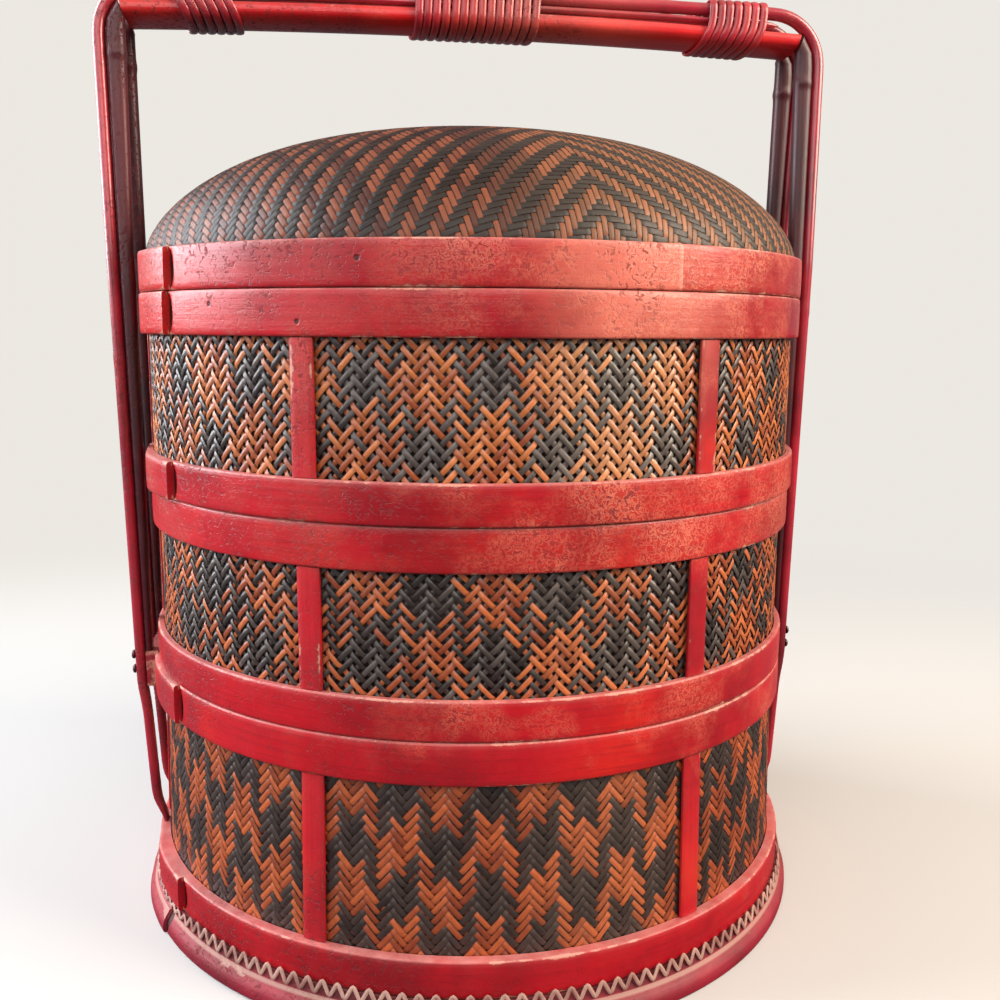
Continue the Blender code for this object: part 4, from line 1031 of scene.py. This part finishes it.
# %% [markdown]
# ## The bails
#
# Each bail is one strip, steamed and bent at two corners, with its pared tails let in behind the base hoop.
# Its line is drawn for the right half and mirrored. The line is then cut at even steps, smoothed at its
# kinks, and a rounded section follows it. Low swellings mark the bamboo's joints.

# %% Bend the bails
bail_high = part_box("front_bail")[1]
BAIL_BOW = 1.1 * MM
BAIL_THICK = 6.0 * MM
CORNER = 27.0 * MM
corner_x = bail_high.x - CORNER
corner_level = bail_high.z - BAIL_BOW - CORNER
hoop_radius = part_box("lid_hoop")[1].x
base_level = base_low.z
base_top = base_high.z
block_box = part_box("right_block")
block_low, block_high = block_box[0].z, block_box[1].z
bar_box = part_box("crossbar")
crossbar_top = bar_box[1].z
crossbar_reach = bar_box[1].x
CROSSBAR_BOW = 3.3 * MM
CROSSBAR_DEPTH = 9.2 * MM
SPREAD_TOP = 11.5 * MM
SPREAD_FOOT = 16.5 * MM


def spread(level):
    """Half the distance between the front and back frames at a height."""
    return np.interp(level, [lid_hoop_high.z, crossbar_top], [SPREAD_FOOT, SPREAD_TOP])


def leg_outer(level):
    """The outer face of a leg on its straight run."""
    rise = (level - block_low) / (corner_level - block_low)
    return hoop_radius + 9.4 * MM + 6.6 * MM * rise


def leg_thickness(level):
    """The thickness of a leg on its straight run."""
    return np.interp(level, [block_low, corner_level], [5.4 * MM, BAIL_THICK])


def sink(x, rise, reach):
    """How much lower a bowed piece is at x than in its middle."""
    return rise * (x / reach) ** 2


half = [(0.16269, base_level + 3.0 * MM, 2.4 * MM), (0.16269, base_top + 0.3 * MM, 2.4 * MM)]
foot_middle = hoop_radius + 4.7 * MM - 2.4 * MM
for part in (0.25, 0.5, 0.75, 1.0):
    ease = part * part * (3.0 - 2.0 * part)
    half.append((0.16269 + (foot_middle - 0.16269) * ease, base_top + 0.3 * MM + 13.7 * MM * part,
                 (2.4 + 2.4 * part) * MM))
half.append((hoop_radius + 9.4 * MM - 2.0 * MM - 2.4 * MM, block_low - 12.0 * MM, 4.8 * MM))
for level in np.linspace(block_low, corner_level, 6):
    half.append((leg_outer(level) - leg_thickness(level) / 2.0, level, leg_thickness(level)))
for part in np.linspace(0.0, 1.0, 15)[1:]:
    bend = part * math.pi / 2.0
    half.append((corner_x + (CORNER - BAIL_THICK / 2.0) * math.cos(bend),
                 corner_level + (CORNER - BAIL_THICK / 2.0) * math.sin(bend), BAIL_THICK))
for x in np.linspace(corner_x, 0.0, 9)[1:]:
    half.append((x, bail_high.z - BAIL_THICK / 2.0 - sink(x, BAIL_BOW, corner_x), BAIL_THICK))
half = np.array(half)
whole = np.concatenate([half, half[-2::-1] * np.array([-1.0, 1.0, 1.0])])
whole = smooth_line(evenly(whole, 3.0 * MM), 2)
for side, name in ((-1.0, "front_bail"), (1.0, "back_bail")):
    path = np.stack([whole[:, 0], side * spread(whole[:, 1]), whole[:, 1]], axis=1)
    run = run_length(path)
    ahead = np.gradient(path, axis=0)
    ahead /= np.linalg.norm(ahead, axis=1)[:, None]
    wide = np.array([0.0, 1.0, 0.0]) - ahead * ahead[:, 1:2]
    wide /= np.linalg.norm(wide, axis=1)[:, None]
    outward = np.cross(wide, ahead)
    joints = np.array([0.115, 0.30, 0.52, 0.74, 0.96]) + 0.02 * side
    swell = sum(np.exp(-((run - joint) / (2.2 * MM)) ** 2) for joint in joints) * 0.07
    sizes = np.stack([whole[:, 2] / BAIL_THICK * (1.0 + swell), 1.0 + swell * 0.8], axis=1)
    bail = sweep(name + "_strip", path, outward, wide, rounded(BAIL_THICK, 7.0 * MM, 2.25, 20, 0.5), sizes)
    dress(bail, pole_lacquer, "red_lacquer", "carrying_body", name)
print("a bail is", round(float(run[-1]), 2), "m long")

# %% [markdown]
# ## Posts, blocks and pegs
#
# The posts are swept upwards and follow the inner face of the bail's bend near their top, where they are cut
# on a slope to take the end of the grip. The blocks fill the room between the legs and the lowest rim. Two
# pegs with domed heads hold each leg to its block.

# %% Posts
unit = rounded(2.0, 2.0, 3.2, 16, 0.7)
bend_bore = CORNER - BAIL_THICK
post_inner = hoop_radius + 0.9 * MM
mitre_low = crossbar_top - CROSSBAR_BOW - CROSSBAR_DEPTH - 0.3 * MM
knuckle = mitre_low - 15.0 * MM
post_levels = np.sort(np.concatenate([np.linspace(block_high + 0.3 * MM, mitre_low - 0.3 * MM, 46),
                                      knuckle + np.linspace(-5.0, 5.0, 12) * MM]))
for hand, hand_name in ((-1.0, "left"), (1.0, "right")):
    for side, side_name in ((-1.0, "front"), (1.0, "back")):
        name = hand_name + "_" + side_name + "_post"
        joints = (knuckle, knuckle - 0.118 - 0.01 * side, knuckle - 0.225 + 0.008 * hand)
        stations = len(post_levels) + 1
        sheet, along, across, number = flat_sheet(name + "_strip", stations - 1, len(unit))
        here = np.round(along * (stations - 1)).astype(int)
        shape = np.array(unit + [unit[0]])[np.round(across * len(unit)).astype(int)]
        level = np.append(post_levels, mitre_low)[here]
        swell = sum(np.exp(-((level - joint) / (2.4 * MM)) ** 2) for joint in joints)
        inner = post_inner - 0.35 * MM * swell
        bend = corner_x + np.sqrt(np.maximum(bend_bore ** 2 - np.maximum(level - corner_level, 0.0) ** 2, 0.0))
        straight = leg_outer(level) - leg_thickness(level)
        outer = np.where(level < corner_level, straight, bend) - 0.3 * MM
        tip = here == stations - 1
        outer = np.where(tip, post_inner + 3.0 * MM, outer)
        x = 0.5 * (inner + outer) + 0.5 * (outer - inner) * shape[:, 0]
        slope = mitre_low + (x - post_inner) * 8.6 / 3.0
        under_bend = corner_level + np.sqrt(np.maximum(bend_bore ** 2 - (x - corner_x) ** 2, 0.0)) - 0.3 * MM
        z = np.where(tip, np.minimum(slope, under_bend), level)
        y = side * spread(level) + (4.0 * MM + 0.8 * MM * swell) * shape[:, 1]
        carry(sheet, hand * x, y, z)
        wear_and_shade_number(sheet, shape[:, 2])
        metres(sheet, level, across * 22.0 * MM)
        close_tube(sheet, ends=True)
        dress(sheet, dark_lacquer, "dark_lacquer", "carrying_body", name)
print("four posts of", round((mitre_low - block_high) * 1000.0), "mm")

# %% Blocks and pegs
block_half = block_box[1].y
block_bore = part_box("tier_3_rim_hoop")[1].x + 0.3 * MM
block_shape = np.array([(0.0, 0.04, 0.3), (0.0, 0.5, 0.0), (0.0, 0.96, 0.3), (0.06, 1.0, 0.9), (0.5, 1.0, 0.4),
                        (0.94, 1.0, 0.9), (1.0, 0.96, 0.9), (1.0, 0.5, 0.0), (1.0, 0.04, 0.9), (0.94, 0.0, 0.9),
                        (0.5, 0.0, 0.3), (0.06, 0.0, 0.9), (0.0, 0.04, 0.3)])
for hand, name in ((-1.0, "left_block"), (1.0, "right_block")):
    sheet, along, across, number = flat_sheet(name + "_cut", 16, 12)
    shape = block_shape[np.round(across * 12).astype(int)]
    y = (2.0 * along - 1.0) * block_half
    z = block_low + (block_high - block_low) * shape[:, 1]
    inner = np.sqrt(block_bore ** 2 - y ** 2)
    outer = leg_outer(z) - leg_thickness(z) - 0.3 * MM
    ends = np.maximum(np.abs(2.0 * along - 1.0) - 0.96, 0.0) / 0.04
    carry(sheet, hand * (inner + (outer - inner) * shape[:, 0]), y, z)
    wear_and_shade_number(sheet, np.maximum(shape[:, 2], ends))
    metres(sheet, y, across * 45.0 * MM)
    close_tube(sheet, ends=True)
    dress(sheet, pole_lacquer, "red_lacquer", "carrying_body", name)

peg_profile = [(2.3, 0.0), (2.3, 0.35), (2.05, 0.85), (1.55, 1.2), (0.8, 1.38), (0.02, 1.4)]
for hand, hand_name in ((-1.0, "left"), (1.0, "right")):
    for side, side_name in ((-1.0, "front"), (1.0, "back")):
        for place_name in ("lower", "upper"):
            name = hand_name + "_" + side_name + "_" + place_name + "_peg"
            low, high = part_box(name)
            sheet, along, across, number = flat_sheet(name + "_head", 16, len(peg_profile) - 1)
            size, out = np.array(peg_profile)[np.round(across * (len(peg_profile) - 1)).astype(int)].T * MM
            turn = along * 2.0 * math.pi
            seat = min(abs(low.x), abs(high.x))
            carry(sheet, hand * (seat + out), 0.5 * (low.y + high.y) + size * np.cos(turn),
                  0.5 * (low.z + high.z) + size * np.sin(turn))
            wear_and_shade_number(sheet, np.where(out > 1.3 * MM, 0.6, 0.0))
            metres(sheet, along * 14.0 * MM, out)
            close_tube(sheet, ends=True)
            dress(sheet, dark_lacquer, "dark_lacquer", "carrying_body", name)
print("blocks", round((block_high - block_low) * 1000.0, 1), "mm high, with eight pegs")

# %% [markdown]
# ## The grip
#
# The crossbar is half round below and nearly flat on top, and its ends are mitred against the posts. Two thin
# fillers with pointed ends close the room between bar and bails. Rattan is wound round all of it in three
# places. A winding is one unbroken strand: its line runs round the joint outline of bar and bails, turn after
# turn, and leans where it goes down the bar.

# %% Crossbar and fillers
bar_half = 14.5 * MM
bar_points = [(bar_half - 3.5 * MM, 0.0, 0.5), (bar_half - 1.4 * MM, -0.5 * MM, 0.9), (bar_half - 0.25 * MM, -1.5 * MM, 0.9),
              (bar_half, -3.0 * MM, 0.35)]
for part in np.linspace(0.0, 1.0, 17):
    bend = part * math.pi
    bar_points.append((bar_half * math.cos(bend), -4.4 * MM - 4.8 * MM * math.sin(bend), 0.0))
bar_points += [(-across, drop, worn) for across, drop, worn in reversed(bar_points[:4])]
bar_points += [(-5.0 * MM, 0.1 * MM, 0.0), (5.0 * MM, 0.1 * MM, 0.0)]
bar_shape = np.array(bar_points + [bar_points[0]])
sheet, along, across, number = flat_sheet("crossbar_grip", 64, len(bar_points))
side_place, drop, worn = bar_shape[np.round(across * len(bar_points)).astype(int)].T
x = crossbar_reach * (2.0 * along - 1.0)
level = crossbar_top + drop - sink(x, CROSSBAR_BOW, crossbar_reach)
at_end = np.clip((np.abs(2.0 * along - 1.0) - 0.99) / 0.01, 0.0, 1.0)
x = x - np.sign(x) * at_end * 2.4 * MM * -np.minimum(drop, 0.0) / CROSSBAR_DEPTH
carry(sheet, x, side_place, level)
wear_and_shade_number(sheet, worn)
metres(sheet, x, run_length(bar_shape[:, :2])[np.round(across * len(bar_points)).astype(int)])
close_tube(sheet, ends=True)
dress(sheet, grip_lacquer, "red_lacquer", "carrying_body", "crossbar")

bail_under = bail_high.z - BAIL_THICK
for side, name in ((-1.0, "front_filler"), (1.0, "back_filler")):
    low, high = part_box(name)
    xs = np.linspace(low.x, high.x, 70)
    middle = 0.5 * (crossbar_top - sink(xs, CROSSBAR_BOW, crossbar_reach) + bail_under - sink(xs, BAIL_BOW, corner_x))
    path = np.stack([xs, np.full(70, side * SPREAD_TOP), middle], axis=1)
    taper = np.clip(np.minimum(xs - low.x, high.x - xs) / (6.4 * MM), 0.0, 1.0)
    taper = 0.25 + 0.75 * np.sqrt(taper)
    filler = sweep(name + "_strip", path, np.tile([0.0, 0.0, 1.0], (70, 1)), np.tile([0.0, 1.0, 0.0], (70, 1)),
                   rounded(3.2 * MM, 6.0 * MM, 2.4, 14, 0.6), np.stack([taper, taper], axis=1))
    dress(filler, pole_lacquer, "red_lacquer", "carrying_body", name)
print("the grip is", round(2000.0 * crossbar_reach), "mm long")

# %% Wind the rattan
flat_eighth = math.tan(math.pi / 8.0)
bail_side = SPREAD_TOP + 3.5 * MM
bail_middle = bail_under + BAIL_THICK / 2.0
right_corners = [(SPREAD_TOP + 3.5 * MM * flat_eighth, bail_high.z), (bail_side, bail_middle + 3.0 * MM * flat_eighth),
                 (bail_side, bail_middle - 3.0 * MM * flat_eighth)]
belly = [(bar_half * math.cos(bend), crossbar_top - 4.4 * MM - 4.8 * MM * math.sin(bend))
         for bend in np.linspace(0.0, math.pi, 13)]
corners = np.array(right_corners + belly + [(-across, level) for across, level in reversed(right_corners)])
before, after = corners - np.roll(corners, 1, axis=0), np.roll(corners, -1, axis=0) - corners
before /= np.linalg.norm(before, axis=1)[:, None]
after /= np.linalg.norm(after, axis=1)[:, None]
first_out = np.stack([-before[:, 1], before[:, 0]], axis=1)
second_out = np.stack([-after[:, 1], after[:, 0]], axis=1)
mean_out = first_out + second_out
mean_out /= np.linalg.norm(mean_out, axis=1)[:, None]
loop = corners + mean_out * (1.2 * MM / np.sum(mean_out * first_out, axis=1))[:, None]
loop_run = run_length(np.concatenate([loop, loop[:1]]))
closed_loop = np.concatenate([loop, loop[:1]])


def wind(name, share, turns, slant, seed):
    """One strand wound round the grip, with small differences from turn to turn."""
    pitch = 4.4 * MM
    chance = np.random.default_rng(seed)
    total = loop_run[-1] * turns
    gone = np.linspace(0.0, total, int(total / (1.3 * MM)))
    within = gone % loop_run[-1]
    y = np.interp(within, loop_run, closed_loop[:, 0])
    z = np.interp(within, loop_run, closed_loop[:, 1])
    wobble = np.interp(gone, np.linspace(0.0, total, turns * 3 + 1), chance.uniform(-0.28, 0.28, turns * 3 + 1)) * MM
    below = np.maximum(0.0, crossbar_top - z) / CROSSBAR_DEPTH
    x = share * crossbar_reach - turns * pitch / 2.0 + pitch * gone / loop_run[-1] + slant * below + wobble
    z = z - np.where(z < crossbar_top, sink(x, CROSSBAR_BOW, crossbar_reach), sink(x, BAIL_BOW, corner_x))
    path = smooth_line(np.stack([x, y, z], axis=1), 2)
    ahead = np.gradient(path, axis=0)
    ahead /= np.linalg.norm(ahead, axis=1)[:, None]
    core = 0.5 * (bail_high.z + crossbar_top - CROSSBAR_DEPTH)
    outward = np.stack([np.zeros(len(path)), path[:, 1], path[:, 2] - core], axis=1)
    outward -= ahead * np.sum(outward * ahead, axis=1)[:, None]
    outward /= np.linalg.norm(outward, axis=1)[:, None]
    strand = sweep(name + "_strand", path, outward, np.cross(ahead, outward), rounded(1.7 * MM, 3.9 * MM, 2.3, 10, 0.7))
    dress(strand, rattan_lacquer, "red_rattan", "carrying_body", name)
    print(name, turns, "turns of one strand", round(float(run_length(path)[-1]), 2), "m long")


wind("left_binding", -0.775, 6, 5.2 * MM, 3)
wind("middle_binding", 0.0, 14, 0.0, 5)
wind("right_binding", 0.787, 7, -3.6 * MM, 8)

# %% [markdown]
# ## Floors and collars
#
# The floors and the collars inside the tiers keep their solids. They get plain split bamboo, darkened with age.

# %% Finish the inside
inside_bamboo = bpy.data.materials.new("inside_bamboo")
inside_bamboo.use_nodes = True
bamboo = inside_bamboo.node_tree
bamboo_spot = node(bamboo, "TexCoord").outputs["Object"]
bamboo_stretch = node(bamboo, "Mapping", Vector=bamboo_spot, Scale=(14.0, 330.0, 60.0))
bamboo_fibre = node(bamboo, "TexNoise", Vector=bamboo_stretch.outputs["Vector"], Scale=1.0, Detail=4.0, Roughness=0.6)
bamboo_cloud = node(bamboo, "TexNoise", Vector=bamboo_spot, Scale=11.0, Detail=4.0)
bamboo_body = blend(bamboo, bamboo_fibre.outputs["Fac"], colour(118, 76, 42), colour(186, 140, 88))
bamboo_body = blend(bamboo, span(bamboo, bamboo_cloud.outputs["Fac"], 0.45, 0.7, 0.0, 0.5), bamboo_body, colour(92, 54, 34))
bamboo_shader = bamboo.nodes["Principled BSDF"]
bamboo.links.new(bamboo_body, bamboo_shader.inputs["Base Color"])
bamboo.links.new(span(bamboo, bamboo_cloud.outputs["Fac"], 0.3, 0.7, 0.5, 0.68), bamboo_shader.inputs["Roughness"])
bamboo_bump = node(bamboo, "Bump", Height=bamboo_fibre.outputs["Fac"], Strength=0.35, Distance=0.15 * MM)
bamboo.links.new(bamboo_bump.outputs["Normal"], bamboo_shader.inputs["Normal"])
for name, piece in nodes.items():
    if name.endswith(("_floor", "_collar")):
        piece.data.materials.clear()
        piece.data.materials.append(inside_bamboo)
print("inside pieces:", [name for name in nodes if name.endswith(("_floor", "_collar"))])
